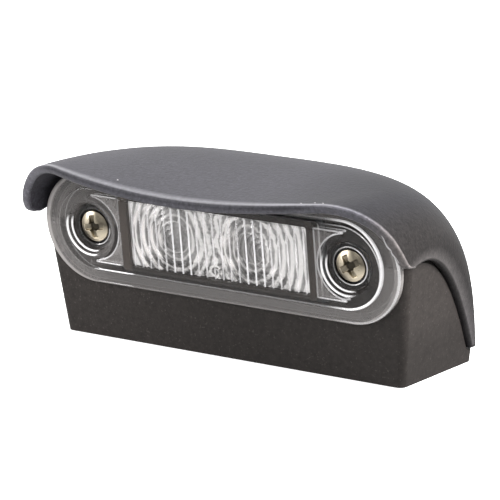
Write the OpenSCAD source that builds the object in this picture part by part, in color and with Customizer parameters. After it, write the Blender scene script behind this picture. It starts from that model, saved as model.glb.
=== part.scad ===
// Number plate lamp: a plinth with a leaning front, a thin hood over it and a clear LED module.
// The origin is the centre of the plinth's underside. +Z points up, -Y points out of the lens.

/* [Plinth] */
// Width of the plinth across its underside
base_w = 79.4; // [70:0.2:100]
// Depth of the plinth across its underside
base_d = 25.5; // [24:0.1:32]
// Lean of the front face, its top further forward
face_lean = 7.2; // [3:0.1:10]
// Angle at which each side widens upwards
side_draft = 7.1; // [3:0.1:9]
// Height of the body that stands under the hood
body_h = 32.6; // [32:0.1:36]
// Depth of the body's flat top, behind the front face
body_top_d = 14.8; // [13.5:0.1:16]
// Inset of the body from the plinth's visible faces, where the hood covers it
hood_rebate = 1.4; // [1:0.1:1.8]
// Thickness of the plinth's floor
floor_t = 2.5; // [2:0.1:3.5]
// Thickness of the plinth's hidden side and rear walls
side_wall = 2; // [1.5:0.1:2.5]
// Thickness of the front wall that carries the lamp module
front_wall = 3.2; // [2.8:0.1:4]
// Radius of the plinth's upright edges
edge_r = 1.5; // [0.8:0.1:2.5]
// Thickness of the saddle ribs that carry the hood
saddle_t = 1.8; // [1.2:0.1:3]
// Distance between the saddle ribs
saddle_pitch = 7; // [5:0.5:10]

/* [Mounting] */
// Distance of each pilot hole from the plinth's end
pilot_inset = 14.7; // [13:0.1:17]
// Radius of the pilot holes
mount_hole_r = 1.75; // [1.5:0.05:2.2]
// Depth of the pilot holes
mount_hole_depth = 9.5; // [7:0.5:9.5]
// Radius of the pilot hole bosses
mount_boss_r = 4; // [3:0.1:4]
// Distance of the cable outlet behind the underside's centre
outlet_y = 2; // [0:0.5:4]
// Radius of the cable outlet through the grommet
cable_r = 2.75; // [2:0.05:2.8]
// Radius of the outlet hole in the floor
outlet_r = 3.8; // [3.7:0.1:4]
// Radius of the grommet's flanges
grommet_flange_r = 4.8; // [4.7:0.1:5]
// Height of the grommet's nose above the floor
grommet_nose_h = 4; // [3:0.1:6]

/* [Hood] */
// Wall thickness of the hood
hood_wall = 1.8; // [1.2:0.1:2]
// Reach of the visor's middle in front of the plinth's front edge
visor_reach = 17.4; // [12:0.1:24]
// Height of the visor's shoulders over the edge of the lens
visor_over = 2.95; // [2.7:0.05:4.5]
// Dip of the visor's front edge at its middle
visor_dip = 2.7; // [0:0.1:3]
// Bow of the visor in plan, higher values keep its middle straighter
visor_bow = 3.4; // [2:0.1:5]
// Length over which the crown keeps its first slope
crown_pull = 55; // [45:0.5:60]
// Upward slope of the crown behind the visor
crown_slope = 6.6; // [5:0.1:8]
// Height over which the back of the hood stays upright
back_pull = 26; // [22:0.5:30]
// Reach of the hood's back behind the plinth
back_over = 0.5; // [0.3:0.05:1.5]
// Side overhang of the hood at the front
side_over_front = 2; // [1.8:0.05:3]
// Side overhang of the hood at the rear
side_over_rear = 0.8; // [0.7:0.05:1.5]
// Height of the hood's front corners above the lens centre
cusp_lift = 1.4; // [0.9:0.1:2.9]
// Reach of the front corners in front of the plinth's front edge
cusp_reach = 7.4; // [6:0.1:9]
// Height of the hood's lower edge at the rear
back_edge_z = 3.7; // [3:0.1:6]
// Distance of the side edges' lower end in front of the plinth's rear
edge_end_in = 1.9; // [1:0.1:3]
// Pull of the side edges' wave upwards
wave_rise = 9.4; // [7:0.1:10]
// Squareness of the hood's arch at the front
arch_square = 2.6; // [2:0.1:3.2]
// Squareness of the hood's outline at the rear
back_square = 6; // [5:0.1:8]

/* [Lens] */
// Distance of each module screw from the plinth's end
screw_inset = 9.7; // [9:0.1:11]
// Distance of the lens centre below the body's flat top
lens_drop = 9.5; // [9:0.1:9.8]
// Width of the lens above and below the window
lens_margin = 4.75; // [4.5:0.05:4.9]
// Thickness of the lens flange
flange_t = 1.3; // [1:0.1:1.8]
// Width of the flange round the terrace
flange_w = 2.9; // [2.4:0.1:2.95]
// Distance by which the terrace's round ends are centred inside the screws
terrace_inset = 0.8; // [0:0.1:1.2]
// Height of the terrace over the flange
terrace_h = 0.8; // [0.7:0.05:1.2]
// Height of the window block over the terrace
block_h = 0.6; // [0.4:0.05:0.9]
// Height of the window block beyond the window, above and below
block_over = 0.2; // [0:0.05:0.4]
// Radius of the window block's hollow ends, about each screw
block_arc_r = 6.2; // [5.9:0.05:6.6]
// Rounding of the flange's front edge
flange_round = 0.6; // [0.2:0.1:0.9]
// Rounding of the terrace's front edge
terrace_round = 0.4; // [0.2:0.1:0.5]
// Wall thickness of the lens over the window
window_wall = 1.3; // [1.1:0.1:1.5]
// Distance from each screw to the fluted window
window_inset = 8.9; // [8.6:0.1:11]
// Height of the fluted window
window_h = 13.5; // [12:0.1:13.8]
// Number of flutes across the window
flute_count = 22; // [12:1:26]
// Depth of each flute
flute_depth = 0.35; // [0.2:0.05:0.45]
// Radius of the screw wells at the front
well_r = 5.45; // [5:0.05:5.7]
// Radius of the screw wells at their foot
well_foot_r = 4.8; // [4.5:0.1:5]
// Radius of the recess round each screw head
seat_r = 3.75; // [3.6:0.05:4]
// Depth of the screw seat below the plinth's face
seat_sink = 0.5; // [0.3:0.1:0.8]
// Radius of the bosses behind the lens
lens_boss_r = 4.4; // [4.3:0.05:4.6]
// Length of the bosses behind the lens
lens_boss_l = 2.4; // [2:0.1:2.6]

/* [Module] */
// Thickness of the sealing ring
gasket_t = 1; // [0.7:0.05:1.2]
// Width of the sealing ring
gasket_w = 1.2; // [0.9:0.1:1.3]
// Width of the dark frame beside the window
mask_border_w = 1.8; // [1.2:0.1:1.9]
// Height of the dark frame above and below the window
mask_border_h = 1.1; // [0.8:0.05:1.15]
// Width of the optic's carrier plate beyond the window
optic_over_w = 4.2; // [3.6:0.1:4.6]
// Height of the optic's carrier plate beyond the window
optic_over_h = 1.3; // [0.8:0.1:1.4]
// Width of the tray's front lip beyond the optic
lip_over_w = 2.2; // [1.8:0.1:2.4]
// Height of the tray's front lip beyond the optic
lip_over_h = 2; // [1.6:0.1:2.1]
// Depth of the tray behind the plinth's face
tray_depth = 8.4; // [8:0.1:9]
// Width of the tray's body beyond the window
tray_over_w = 5.6; // [5.2:0.1:6]
// Height of the tray's body beyond the window
tray_over_h = 0.5; // [0:0.1:0.7]
// Wall thickness of the tray
tray_wall = 1.2; // [0.9:0.1:1.4]
// Thickness of the circuit board
board_t = 1; // [0.8:0.1:1.2]
// Depth of the board's front below the plinth's face
board_depth = 4.2; // [4:0.1:4.5]
// Distance between the light sources as a share of the window's width
led_spread = 0.5; // [0.45:0.01:0.55]
// Edge length of the light source's package
led_w = 3.5; // [3:0.1:4]
// Height of the light source's package
led_h = 0.8; // [0.6:0.1:1]
// Radius of the light source's dome
led_dome_r = 1.3; // [1:0.05:1.4]
// Number of rings from each light source to the window's end
ring_count = 9; // [7:1:10]
// Depth of each ring's step
ring_depth = 0.6; // [0.3:0.05:0.8]
// Thickness of the optic's carrier plate
optic_plate_t = 1.2; // [1:0.1:1.4]

/* [Screws] */
// Radius of the screw head
head_r = 3.2; // [2.9:0.1:3.5]
// Height of the screw head
head_h = 1.7; // [1.6:0.1:2.2]
// Radius of the screw shank
shank_r = 1.7; // [1.5:0.05:1.8]
// Length of the screw below its head
shank_l = 8.3; // [7.6:0.1:9]
// Depth of the cross recess
recess_depth = 1.2; // [0.9:0.1:1.4]
// Span of the cross recess
recess_w = 3.5; // [3:0.1:4]
// Width of each arm of the cross recess
recess_arm = 0.9; // [0.7:0.05:1.1]
// Wall thickness of the bosses round the brass inserts
insert_boss_wall = 3.4; // [2.8:0.1:3.6]
// Outer radius of the brass inserts
insert_r = 2.6; // [2.3:0.1:2.8]
// Length of the brass inserts
insert_l = 6; // [5:0.5:7]

/* [Hidden] */
round_fn = 96;
corner_fn = 32;
eps = 0.01;
// Clearance between pieces that slide together, and the gap under a seated shell
fit = 0.1;
seat_gap = 0.3;
// Length by which a cutting body runs past the face that it cuts
over = 1;

// Front face, underside and body of the plinth
front_y = -base_d / 2;
rear_y = base_d / 2;
lean = tan(face_lean);
draft = tan(side_draft);
lip_r = hood_wall / 2;
lens_z = body_h - lens_drop;
lens_r = window_h / 2 + lens_margin;
terrace_r = lens_r - flange_w;
seat_n = -seat_sink;
body_rear_r = 3;
body_setback = 0.6;
plate_t = 0.1;
pilot_boss_h = mount_hole_depth + 1.5;
mount_pitch = base_w - 2 * pilot_inset;
screw_pitch = base_w - 2 * screw_inset;
window_w = screw_pitch - 2 * window_inset;
tray_w = window_w + tray_over_w;
tray_h = window_h + tray_over_h;
led_x = window_w * led_spread / 2;
ring_step = (window_w / 2 - led_x) / ring_count * 0.9;
saddle_count = 3;

// Seat of the sealing ring and of the module in the front wall
seal_setback = 1.9;
seat_setback = 0.3;
groove_r = lens_r - seal_setback;
seat_plate_r = lens_r - seat_setback;
terrace_front = flange_t + terrace_h;
lens_front = terrace_front + block_h;
ceiling = lens_front - window_wall;
mask_w = window_w + 2 * mask_border_w;
mask_h = window_h + 2 * mask_border_h;
corner_r = 1;
tray_in_w = tray_w - 2 * tray_wall;
tray_in_h = tray_h - 2 * tray_wall;
optic_w = window_w + optic_over_w;
optic_h = window_h + optic_over_h;
lip_w = optic_w + lip_over_w;
lip_h = optic_h + lip_over_h;
lip_t = optic_plate_t + 1;
insert_top = -lens_boss_l - fit;
insert_boss_r = insert_r + insert_boss_wall;
screw_tip = seat_n - shank_l;
turned_left = 8;
turned_right = 28;
chip_size = [5, 4, 1.4];
resistor_size = [3.2, 1.6, 0.6];
diode_size = [4, 2.4, 1.5];
capacitor_size = [3.2, 2.2, 1.4];
component_gap = 0.6;
board_margin = 0.7;
board_h = tray_in_h - 2 * fit;
blade_size = [2.8, 0.8];
blade_out = 2.2;
blade_proud = 0.4;
terminal_pitch = 10;

// Control points of the hood: crown in the middle plane, lower edge along the side
rim_y = front_y - visor_reach;
rim_z = lens_z + lens_r + visor_over;
cusp_z = lens_z + cusp_lift;
back_y = rear_y + back_over;
cusp = [front_y - cusp_reach, cusp_z];
edge_lead = cusp + [0.19 * base_d, -0.5];
edge_pull = cusp + [0.545 * base_d, wave_rise];
edge_end = [rear_y - edge_end_in, back_edge_z];
dip_fade = 5;
shoulder_fade = 6;
corner_start = 0.86;
corner_cut = 0.2;
shoulder_start = 0.5;
arch_steps = 36;
arch_growth = 1.25;
hood_rows = 14;
row_growth = 1.5;
lip_angles = [45, 90, 135];
cap_angles = [32, 62];

function mix(a, b, t) = a + (b - a) * t;
function unit(v) = v / norm(v);
function curve(p, t) = pow(1 - t, 3) * p[0] + 3 * pow(1 - t, 2) * t * p[1]
                       + 3 * (1 - t) * t * t * p[2] + pow(t, 3) * p[3];
function face_y(z) = front_y - z * lean;

// Profile of the hood's crown, moved inwards by inset
function crown(t, inset) = curve([
    [rim_y, rim_z - inset],
    [rim_y + crown_pull * cos(crown_slope) - inset / 2, rim_z + crown_pull * sin(crown_slope) - inset],
    [back_y - inset, back_edge_z + back_pull - inset / 2],
    [back_y - inset, back_edge_z]], t);

// Lower edge of the hood at its side, as depth and height
function side_edge(t) = curve([cusp, edge_lead, edge_pull, edge_end], t);

function away_from_edge(t) = let (d = unit(side_edge(t + 0.01) - side_edge(t - 0.01))) [d[1], -d[0]];

function half_width(t, inset) = base_w / 2 + mix(side_over_front, side_over_rear, t)
                                + draft * side_edge(t)[1] - inset;
function squareness(t) = mix(arch_square, back_square, t * t);

// Arch from the crown (q = 0) to the side edge (q = 1): share of the width, share of the height
function oval_arch(q, n) = [pow(sin(90 * q), 2 / n), pow(cos(90 * q), 2 / n)];
function shoulder_arch(q, w) = q < shoulder_start
    ? [screw_pitch / 2 * q / shoulder_start / w, 1]
    : let (a = 90 * (q - shoulder_start) / (1 - shoulder_start), r = w - screw_pitch / 2)
      [(screw_pitch / 2 + r * sin(a)) / w, cos(a)];
function arch(q, t, w) = mix(oval_arch(q, squareness(t)), shoulder_arch(q, w), pow(1 - t, shoulder_fade));

// Rounding of the hood's lower front corners: how far back the sheet starts at each arch position
function corner_back(q) = q < corner_start ? 0
    : corner_cut * (1 - sqrt(1 - pow((q - corner_start) / (1 - corner_start), 2)));
function along(q, t) = mix(corner_back(abs(q)), 1, t);

// Point of the hood's sheet, inset from its outer face
function sheet(q, t, inset) =
    let (e = side_edge(t), c = crown(t, inset), w = half_width(t, inset), a = arch(abs(q), t, w),
         in_plan = mix(1 - pow(min(a[0], 1), visor_bow), a[1], t),
         dip = visor_dip * pow(1 - t, dip_fade) * pow(cos(90 * min(a[0], 1)), 2))
    [sign(q) * w * a[0], mix(e[0], c[0], in_plan), mix(e[1], c[1], a[1]) - dip];
function hood_point(q, t, inset) = sheet(q, along(q, t), inset);

// Arch positions from one side edge to the other, closer together near the edges
function arch_q(k) = let (u = 2 * k / arch_steps - 1) sign(u) * (1 - pow(1 - abs(u), arch_growth));

// Each loop entry: the point, the middle of the wall there, and the way out over the nearer end
function wall_middle(q, t) = hood_point(q, t, lip_r);
function way_out(q, t) = t < 0.5 ? unit(wall_middle(q, 0) - wall_middle(q, 0.02))
                                 : unit(wall_middle(q, 1) - wall_middle(q, 0.98));
function lip_point(side, t, a) =
    let (o = hood_point(side, t, 0), i = hood_point(side, t, hood_wall), m = (o + i) / 2,
         down = unit(wall_middle(side, t) - wall_middle(side * 0.96, t)))
    m + (o - i) / 2 * cos(a) + down * lip_r * sin(a);
function hood_loop(t) = concat(
    [for (k = [0:arch_steps]) let (q = arch_q(k))
        [hood_point(q, t, 0), wall_middle(q, t), way_out(q, t)]],
    [for (a = lip_angles) [lip_point(1, t, a), wall_middle(1, t), way_out(1, t)]],
    [for (k = [arch_steps:-1:0]) let (q = arch_q(k))
        [hood_point(q, t, hood_wall), wall_middle(q, t), way_out(q, t)]],
    [for (a = lip_angles) [lip_point(-1, t, 180 - a), wall_middle(-1, t), way_out(-1, t)]]);
function shrunk_loop(l, a) = [for (e = l) e[1] + (e[0] - e[1]) * cos(a) + e[2] * lip_r * sin(a)];

loop_n = 2 * (arch_steps + 1) + 2 * len(lip_angles);
row_t = [for (k = [0:hood_rows]) pow(k / hood_rows, row_growth)];
hood_rings = concat(
    [for (k = [len(cap_angles) - 1:-1:0]) shrunk_loop(hood_loop(0), cap_angles[k])],
    [for (t = row_t) [for (e = hood_loop(t)) e[0]]],
    [for (a = cap_angles) shrunk_loop(hood_loop(1), a)]);
ring_n = len(hood_rings);

// Triangles between the rings, and across the wall at the first and the last ring
function side_faces() = [for (r = [0:ring_n - 2], i = [0:loop_n - 1])
    let (a = r * loop_n + i, b = r * loop_n + (i + 1) % loop_n)
    each [[a, a + loop_n, b], [b, a + loop_n, b + loop_n]]];
function across(i) = loop_n - len(lip_angles) - 1 - i;
function end_faces(first) = concat(
    [for (i = [0:arch_steps - 1]) each [[i, i + 1, across(i)], [i + 1, across(i + 1), across(i)]]],
    [for (k = [1:len(lip_angles)]) [arch_steps, arch_steps + k, arch_steps + k + 1]],
    [for (k = [1:len(lip_angles)]) let (s = across(0)) [s, s + k, (s + k + 1) % loop_n]])
    + [for (k = [1:2 * arch_steps + 2 * len(lip_angles)]) [first, first, first]];
function flipped(f) = [for (t = f) [t[0], t[2], t[1]]];

// Places a child on the plinth's front face, x across, y up the face and z out of it
module on_face() {
    translate([0, face_y(lens_z), lens_z]) rotate([90 + face_lean, 0, 0]) children();
}

// Corner posts of a rounded plate at height z, from front to rear
module plate_corners(half_w, front, rear, z, front_r, rear_r) {
    for (s = [-1, 1]) {
        translate([s * (half_w - front_r), front + front_r, z])
            cylinder(r = front_r, h = plate_t, $fn = corner_fn);
        translate([s * (half_w - rear_r), rear - rear_r, z])
            cylinder(r = rear_r, h = plate_t, $fn = corner_fn);
    }
}

// Solid between two plates, tapering with the side draft and the lean of the front
module tapered_body(inset, front_inset, low, high, rear_low, rear_high, rear_r) {
    top = high - plate_t;
    hull() {
        plate_corners(base_w / 2 + draft * low - inset, face_y(low) + front_inset, rear_low, low,
                      edge_r, rear_r);
        plate_corners(base_w / 2 + draft * top - inset, face_y(top) + front_inset, rear_high, top,
                      edge_r, rear_r);
    }
}

// Outline of the body from the front: straight sides and round shoulders under the hood
module body_outline() {
    shoulder = body_h - lens_z;
    flat_w = base_w + 2 * (draft * lens_z - hood_rebate - shoulder);
    translate([-base_w, -over]) square([2 * base_w, lens_z + over]);
    translate([-flat_w / 2, 0]) square([flat_w, body_h]);
    for (s = [-1, 1]) translate([s * flat_w / 2, lens_z]) circle(shoulder, $fn = round_fn);
}

// Part of the plinth that the hood leaves open to view, from the side
module open_side() {
    drop = lip_r + seat_gap;
    rotate([90, 0, 90]) linear_extrude(2 * base_w, center = true) polygon(concat(
        [[2 * front_y - visor_reach, -over], [2 * front_y - visor_reach, cusp_z - drop]],
        [for (t = [0:0.0625:1]) side_edge(t) + drop * away_from_edge(t)],
        [edge_end + [0, -drop], [2 * rear_y, back_edge_z - drop], [2 * rear_y, -over]]));
}

// Ribs on the body that follow the underside of the hood's crown
module saddle_ribs() {
    inset = hood_wall + seat_gap;
    for (k = [0:saddle_count - 1]) {
        translate([(k - (saddle_count - 1) / 2) * saddle_pitch, 0, 0])
            rotate([90, 0, 90]) linear_extrude(saddle_t, center = true) polygon(concat(
                [for (t = [0.24:0.06:0.96]) crown(t, inset) - [0, visor_dip * pow(1 - t, dip_fade)]],
                [[back_y - 3 * inset, back_edge_z], [face_y(lens_z) + front_wall, lens_z]]));
    }
}

module stadium(r, low, high) {
    translate([0, 0, low]) linear_extrude(high - low) {
        square([screw_pitch, 2 * r], center = true);
        for (s = [-1, 1]) translate([s * screw_pitch / 2, 0]) circle(r, $fn = round_fn);
    }
}

// Stadium slab with a rounded front edge, its ends revolved and its middle extruded
module rounded_slab(r, pitch, low, high, round) {
    translate([0, 0, low]) {
        for (s = [-1, 1]) translate([s * pitch / 2, 0, 0])
            rotate_extrude($fn = round_fn) slab_profile(r, high - low, round);
        rotate([90, 0, 90]) linear_extrude(pitch, center = true) {
            slab_profile(r, high - low, round);
            mirror([1, 0]) slab_profile(r, high - low, round);
        }
    }
}

module slab_profile(r, h, round) {
    square([r - round, h]);
    square([r, h - round]);
    translate([r - round, h - round]) intersection() {
        circle(round, $fn = corner_fn);
        square(round);
    }
}

module block(w, h, low, high, r) {
    translate([0, 0, low]) linear_extrude(high - low) offset(r = r, $fn = corner_fn)
        square([w - 2 * r, h - 2 * r], center = true);
}

module at_screws() {
    for (s = [-1, 1]) translate([s * screw_pitch / 2, 0, 0]) children();
}

module rod(r, low, high) {
    translate([0, 0, low]) cylinder(r = r, h = high - low, $fn = round_fn);
}

// Hollow of the plinth, open below, moved inwards by shrink
module housing_cavity(shrink) {
    inset = hood_rebate + side_wall + shrink;
    tapered_body(inset, front_wall + shrink, -over, body_h - side_wall, rear_y - inset,
                 face_y(body_h) + body_top_d - side_wall, body_rear_r);
}

module base_housing() {
    color([0.13, 0.12, 0.115]) difference() {
        union() {
            difference() {
                union() {
                    intersection() {
                        tapered_body(0, 0, 0, body_h, rear_y, rear_y, edge_r);
                        open_side();
                    }
                    intersection() {
                        tapered_body(hood_rebate, body_setback, eps, body_h, rear_y - hood_rebate,
                                     face_y(body_h) + body_top_d, body_rear_r);
                        rotate([90, 0, 0]) linear_extrude(4 * base_d, center = true) body_outline();
                    }
                    on_face() stadium(seat_plate_r, -front_wall - fit, -fit / 2);
                    saddle_ribs();
                }
                housing_cavity(0);
            }
            module_bosses();
        }
        module_seat();
    }
}

// Plate that closes the hollow from below, with the pilot holes and the cable outlet
module floor_plate() {
    color([0.13, 0.12, 0.115]) difference() {
        union() {
            intersection() {
                housing_cavity(fit);
                translate([-base_w, -base_d, 0]) cube([2 * base_w, 2 * base_d, floor_t]);
            }
            pilot_bosses();
        }
        floor_holes();
    }
}

module module_bosses() {
    on_face() at_screws() rod(insert_boss_r, screw_tip - 2.5, -front_wall / 2);
}

module pilot_bosses() {
    for (s = [-1, 1]) translate([s * mount_pitch / 2, 0, 0]) rod(mount_boss_r, floor_t / 2, pilot_boss_h);
}

// Cuts in the front wall: sealing groove, module opening, screw bosses and inserts
module module_seat() {
    on_face() {
        difference() {
            stadium(groove_r + gasket_w + fit, -gasket_t, over);
            stadium(groove_r - fit, -gasket_t - over, 2 * over);
        }
        block(tray_w + 2 * seat_gap, tray_h + 2 * seat_gap, -tray_depth - seat_gap, over,
              corner_r + seat_gap);
        block(lip_w + 2 * seat_gap, lip_h + 2 * seat_gap, -lip_t, over, corner_r + seat_gap);
        at_screws() {
            rod(lens_boss_r + seat_gap, insert_top, over);
            rod(insert_r + fit / 2, insert_top - insert_l - fit, over);
            rod(shank_r + 2 * fit, screw_tip - 1, over);
        }
    }
}

// Cuts in the floor: pilot holes from below and the stepped cable outlet
module floor_holes() {
    for (s = [-1, 1]) translate([s * mount_pitch / 2, 0, 0]) rod(mount_hole_r, -over, mount_hole_depth);
    translate([0, outlet_y, 0]) {
        rod(outlet_r + fit, -over, floor_t + over);
        rod(grommet_flange_r + fit, -over, floor_t / 2 - fit);
    }
}

module hood() {
    last = (ring_n - 1) * loop_n;
    color([0.27, 0.27, 0.29]) polyhedron(
        points = [for (ring = hood_rings) each ring],
        faces = concat(side_faces(), end_faces(0), flipped(end_faces(last))),
        convexity = 10);
}

module lens_cover() {
    color([0.75, 0.76, 0.78, 0.5]) on_face() difference() {
        union() {
            rounded_slab(lens_r, screw_pitch, 0, flange_t, flange_round);
            rounded_slab(terrace_r, screw_pitch - 2 * terrace_inset, flange_t / 2, terrace_front, terrace_round);
            window_block();
            at_screws() rod(lens_boss_r, -lens_boss_l, flange_t / 2);
        }
        block(mask_w + 2 * fit, mask_h + 2 * fit, -over, ceiling, corner_r);
        window_flutes();
        at_screws() {
            translate([0, 0, flange_t])
                cylinder(r1 = well_foot_r, r2 = well_r, h = terrace_h + eps, $fn = round_fn);
            rod(well_foot_r, (seat_n + flange_t) / 2, flange_t + eps);
            rod(seat_r, seat_n, flange_t);
            rod(shank_r + 2 * fit, -lens_boss_l - over, flange_t);
        }
    }
}

// Raised block over the window, its ends hollowed round the screws into pointed corners
module window_block() {
    difference() {
        translate([0, 0, (flange_t + lens_front) / 2])
            cube([screw_pitch, window_h + 2 * block_over, lens_front - flange_t], center = true);
        at_screws() rod(block_arc_r, terrace_front, lens_front + over);
    }
}

// Round grooves side by side in the window's inner face
module window_flutes() {
    pitch = window_w / flute_count;
    r = (pow(pitch / 2, 2) + pow(flute_depth, 2)) / (2 * flute_depth);
    for (k = [0:flute_count - 1])
        translate([(k + 0.5) * pitch - window_w / 2, 0, ceiling + flute_depth - r])
            rotate([90, 0, 0]) cylinder(r = r, h = window_h, center = true, $fn = round_fn);
}

module lens_gasket() {
    color([0.06, 0.06, 0.06]) on_face() difference() {
        stadium(groove_r + gasket_w, -gasket_t, 0);
        stadium(groove_r, -gasket_t - over, over);
    }
}

module module_tray() {
    color([0.12, 0.12, 0.13]) on_face() difference() {
        union() {
            block(tray_w, tray_h, -tray_depth, -lip_t / 2, corner_r);
            block(lip_w, lip_h, -lip_t, 0, corner_r);
        }
        block(tray_in_w, tray_in_h, -tray_depth + tray_wall, over, corner_r);
        block(optic_w + 2 * fit, optic_h + 2 * fit, -optic_plate_t - fit, over, corner_r);
        terminal_slots(fit, -tray_depth - over, -tray_depth + 2 * tray_wall);
    }
}

module mask_frame() {
    color([0.07, 0.065, 0.06]) on_face() difference() {
        block(mask_w, mask_h, 0, ceiling - fit / 2, corner_r);
        block(window_w, window_h, -over, ceiling + over, corner_r / 2);
    }
}

// One clear moulding: a carrier plate, two sets of stepped rings, collimator stubs and legs
module ring_optic() {
    front = ceiling - 2 * fit;
    leg_x = tray_in_w / 2 - 1.5;
    leg_y = tray_in_h / 2 - 1.5;
    color([0.86, 0.87, 0.88, 0.6]) on_face() difference() {
        union() {
            block(optic_w, optic_h, -optic_plate_t - fit, -fit, corner_r);
            block(window_w - 2 * fit, window_h - 2 * fit, -fit - eps, front - ring_depth, corner_r / 2);
            for (s = [-1, 1]) intersection() {
                translate([s * led_x, 0, 0]) ring_set(front);
                translate([s * window_w / 4, 0, 0])
                    block(window_w / 2 - 2 * fit, window_h - 2 * fit, 0, front + over, corner_r / 2);
            }
            translate([0, ring_step - window_h / 2 + fit, 0]) rod(ring_step * 0.9, 0, front);
            for (s = [-1, 1]) translate([s * led_x, 0, 0]) rod(led_w * 0.9, collimator_low(), -optic_plate_t);
            for (sx = [-1, 1], sy = [-1, 1])
                translate([sx * leg_x, sy * leg_y, 0]) rod(0.8, -board_depth, -optic_plate_t);
        }
        for (s = [-1, 1]) translate([s * led_x, 0, 0])
            rod(led_dome_r + 2 * fit, collimator_low() - over, led_top() + 2 * fit);
    }
}

function led_top() = -board_depth + led_h + led_dome_r * 0.75;
function collimator_low() = -board_depth + led_h + fit;

// Saw-toothed disc: each ring slopes down inwards and steps up to the next one
module ring_set(front) {
    rotate_extrude($fn = round_fn) polygon(concat(
        [[0, 0], [0, front - ring_depth / 3]],
        [for (k = [1:ring_count]) each [[k * ring_step, front - ring_depth],
                                        [k * ring_step, front - ring_depth * (k % 2) / 4]]],
        [[(ring_count + 1) * ring_step, front - ring_depth], [(ring_count + 1) * ring_step, 0]]));
}

module circuit_board() {
    color([0.85, 0.86, 0.84]) on_face() difference() {
        block(tray_in_w - 2 * fit, board_h, -board_depth - board_t, -board_depth, corner_r);
        terminal_slots(fit, -board_depth - 2 * board_t, -board_depth + over);
    }
}

module led(side) {
    on_face() translate([side * led_x, 0, 0]) {
        color([0.93, 0.93, 0.9]) block(led_w, led_w, -board_depth, -board_depth + led_h, fit);
        color([0.95, 0.85, 0.35]) translate([0, 0, -board_depth + led_h])
            rotate_extrude($fn = round_fn) intersection() {
                circle(led_dome_r, $fn = round_fn);
                square([led_dome_r, led_dome_r * 0.75]);
            }
    }
}

module led_left() {
    led(-1);
}

module led_right() {
    led(1);
}

// A component that lies on the board's front
module component(size, x, y) {
    on_face() translate([x, y, 0]) block(size[0], size[1], -board_depth, -board_depth + size[2], fit);
}

module driver_chip() {
    color([0.08, 0.08, 0.08]) component(chip_size, 0, 0);
}

module resistor_left() {
    color([0.1, 0.1, 0.12]) component(resistor_size, -led_x - led_w - component_gap, 0);
}

module resistor_right() {
    color([0.1, 0.1, 0.12]) component(resistor_size, led_x + led_w + component_gap, 0);
}

module polarity_diode() {
    color([0.1, 0.1, 0.1])
        component(diode_size, 0, board_h / 2 - board_margin - diode_size[1] / 2);
}

module input_capacitor() {
    color([0.6, 0.5, 0.38])
        component(capacitor_size, 0, -board_h / 2 + board_margin + capacitor_size[1] / 2);
}

// Slots or blades at the two supply terminals, grown by a clearance
module terminal_slots(grow, low, high) {
    for (s = [-1, 1]) translate([s * terminal_pitch / 2, 0, (low + high) / 2])
        cube([blade_size[0] + 2 * grow, blade_size[1] + 2 * grow, high - low], center = true);
}

module blade_terminals() {
    color([0.8, 0.78, 0.7]) on_face()
        terminal_slots(0, -tray_depth - blade_out, -board_depth + blade_proud);
}

// Resin that fills the tray behind the board
module potting_resin() {
    color([0.2, 0.2, 0.22]) on_face() difference() {
        block(tray_in_w, tray_in_h, -tray_depth + tray_wall, -board_depth - board_t, corner_r);
        terminal_slots(0, -tray_depth - over, -board_depth + over);
    }
}

module cable_grommet() {
    color([0.05, 0.05, 0.05]) translate([0, outlet_y, 0]) difference() {
        union() {
            rod(grommet_flange_r, fit, floor_t / 2 - fit);
            rod(outlet_r, fit, floor_t);
            rod(grommet_flange_r, floor_t, floor_t + 1);
            translate([0, 0, floor_t + 1])
                cylinder(r1 = outlet_r, r2 = cable_r + 0.6, h = grommet_nose_h - 1, $fn = round_fn);
        }
        rod(cable_r, -over, floor_t + grommet_nose_h + over);
    }
}

module threaded_insert(side) {
    color([0.72, 0.58, 0.3]) on_face() translate([side * screw_pitch / 2, 0, 0]) difference() {
        union() {
            rod(insert_r, insert_top - insert_l, insert_top - insert_l * 2 / 3);
            rod(insert_r - 0.3, insert_top - insert_l * 0.9, insert_top - fit);
            rod(insert_r, insert_top - insert_l / 3, insert_top);
        }
        rod(shank_r + fit / 2, insert_top - insert_l - over, over);
    }
}

module insert_left() {
    threaded_insert(-1);
}

module insert_right() {
    threaded_insert(1);
}

// Pan head with a cross recess, turned by the angle at which it was tightened
module screw(side, turned) {
    dome = head_h * 2;
    color([0.72, 0.68, 0.58]) on_face() translate([side * screw_pitch / 2, 0, seat_n]) difference() {
        union() {
            intersection() {
                rod(head_r, 0, head_h);
                translate([0, 0, head_h - dome * 1.6]) sphere(dome * 1.6, $fn = round_fn);
            }
            rod(shank_r, -shank_l + shank_r, eps);
            translate([0, 0, -shank_l])
                cylinder(r1 = shank_r / 2, r2 = shank_r, h = shank_r, $fn = round_fn);
        }
        rotate([0, 0, turned]) translate([0, 0, head_h - recess_depth]) {
            for (a = [0, 90]) rotate([0, 0, a]) linear_extrude(recess_depth + over)
                square([recess_w, recess_arm], center = true);
            cylinder(r1 = recess_arm / 2, r2 = recess_arm * 1.1, h = recess_depth + eps, $fn = round_fn);
        }
    }
}

module screw_left() {
    screw(-1, turned_left);
}

module screw_right() {
    screw(1, turned_right);
}

base_housing();
floor_plate();
hood();
lens_cover();
lens_gasket();
module_tray();
mask_frame();
ring_optic();
circuit_board();
led_left();
led_right();
driver_chip();
resistor_left();
resistor_right();
polarity_diode();
input_capacitor();
blade_terminals();
potting_resin();
cable_grommet();
insert_left();
insert_right();
screw_left();
screw_right();
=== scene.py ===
"""Number plate lamp: finish, fine shapes and studio over the lamp's measured solids.

Everything is in metres, in the frame of the solids: the origin is the centre of the plinth's
underside, +Z points up and -Y points out of the lens.
"""

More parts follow.
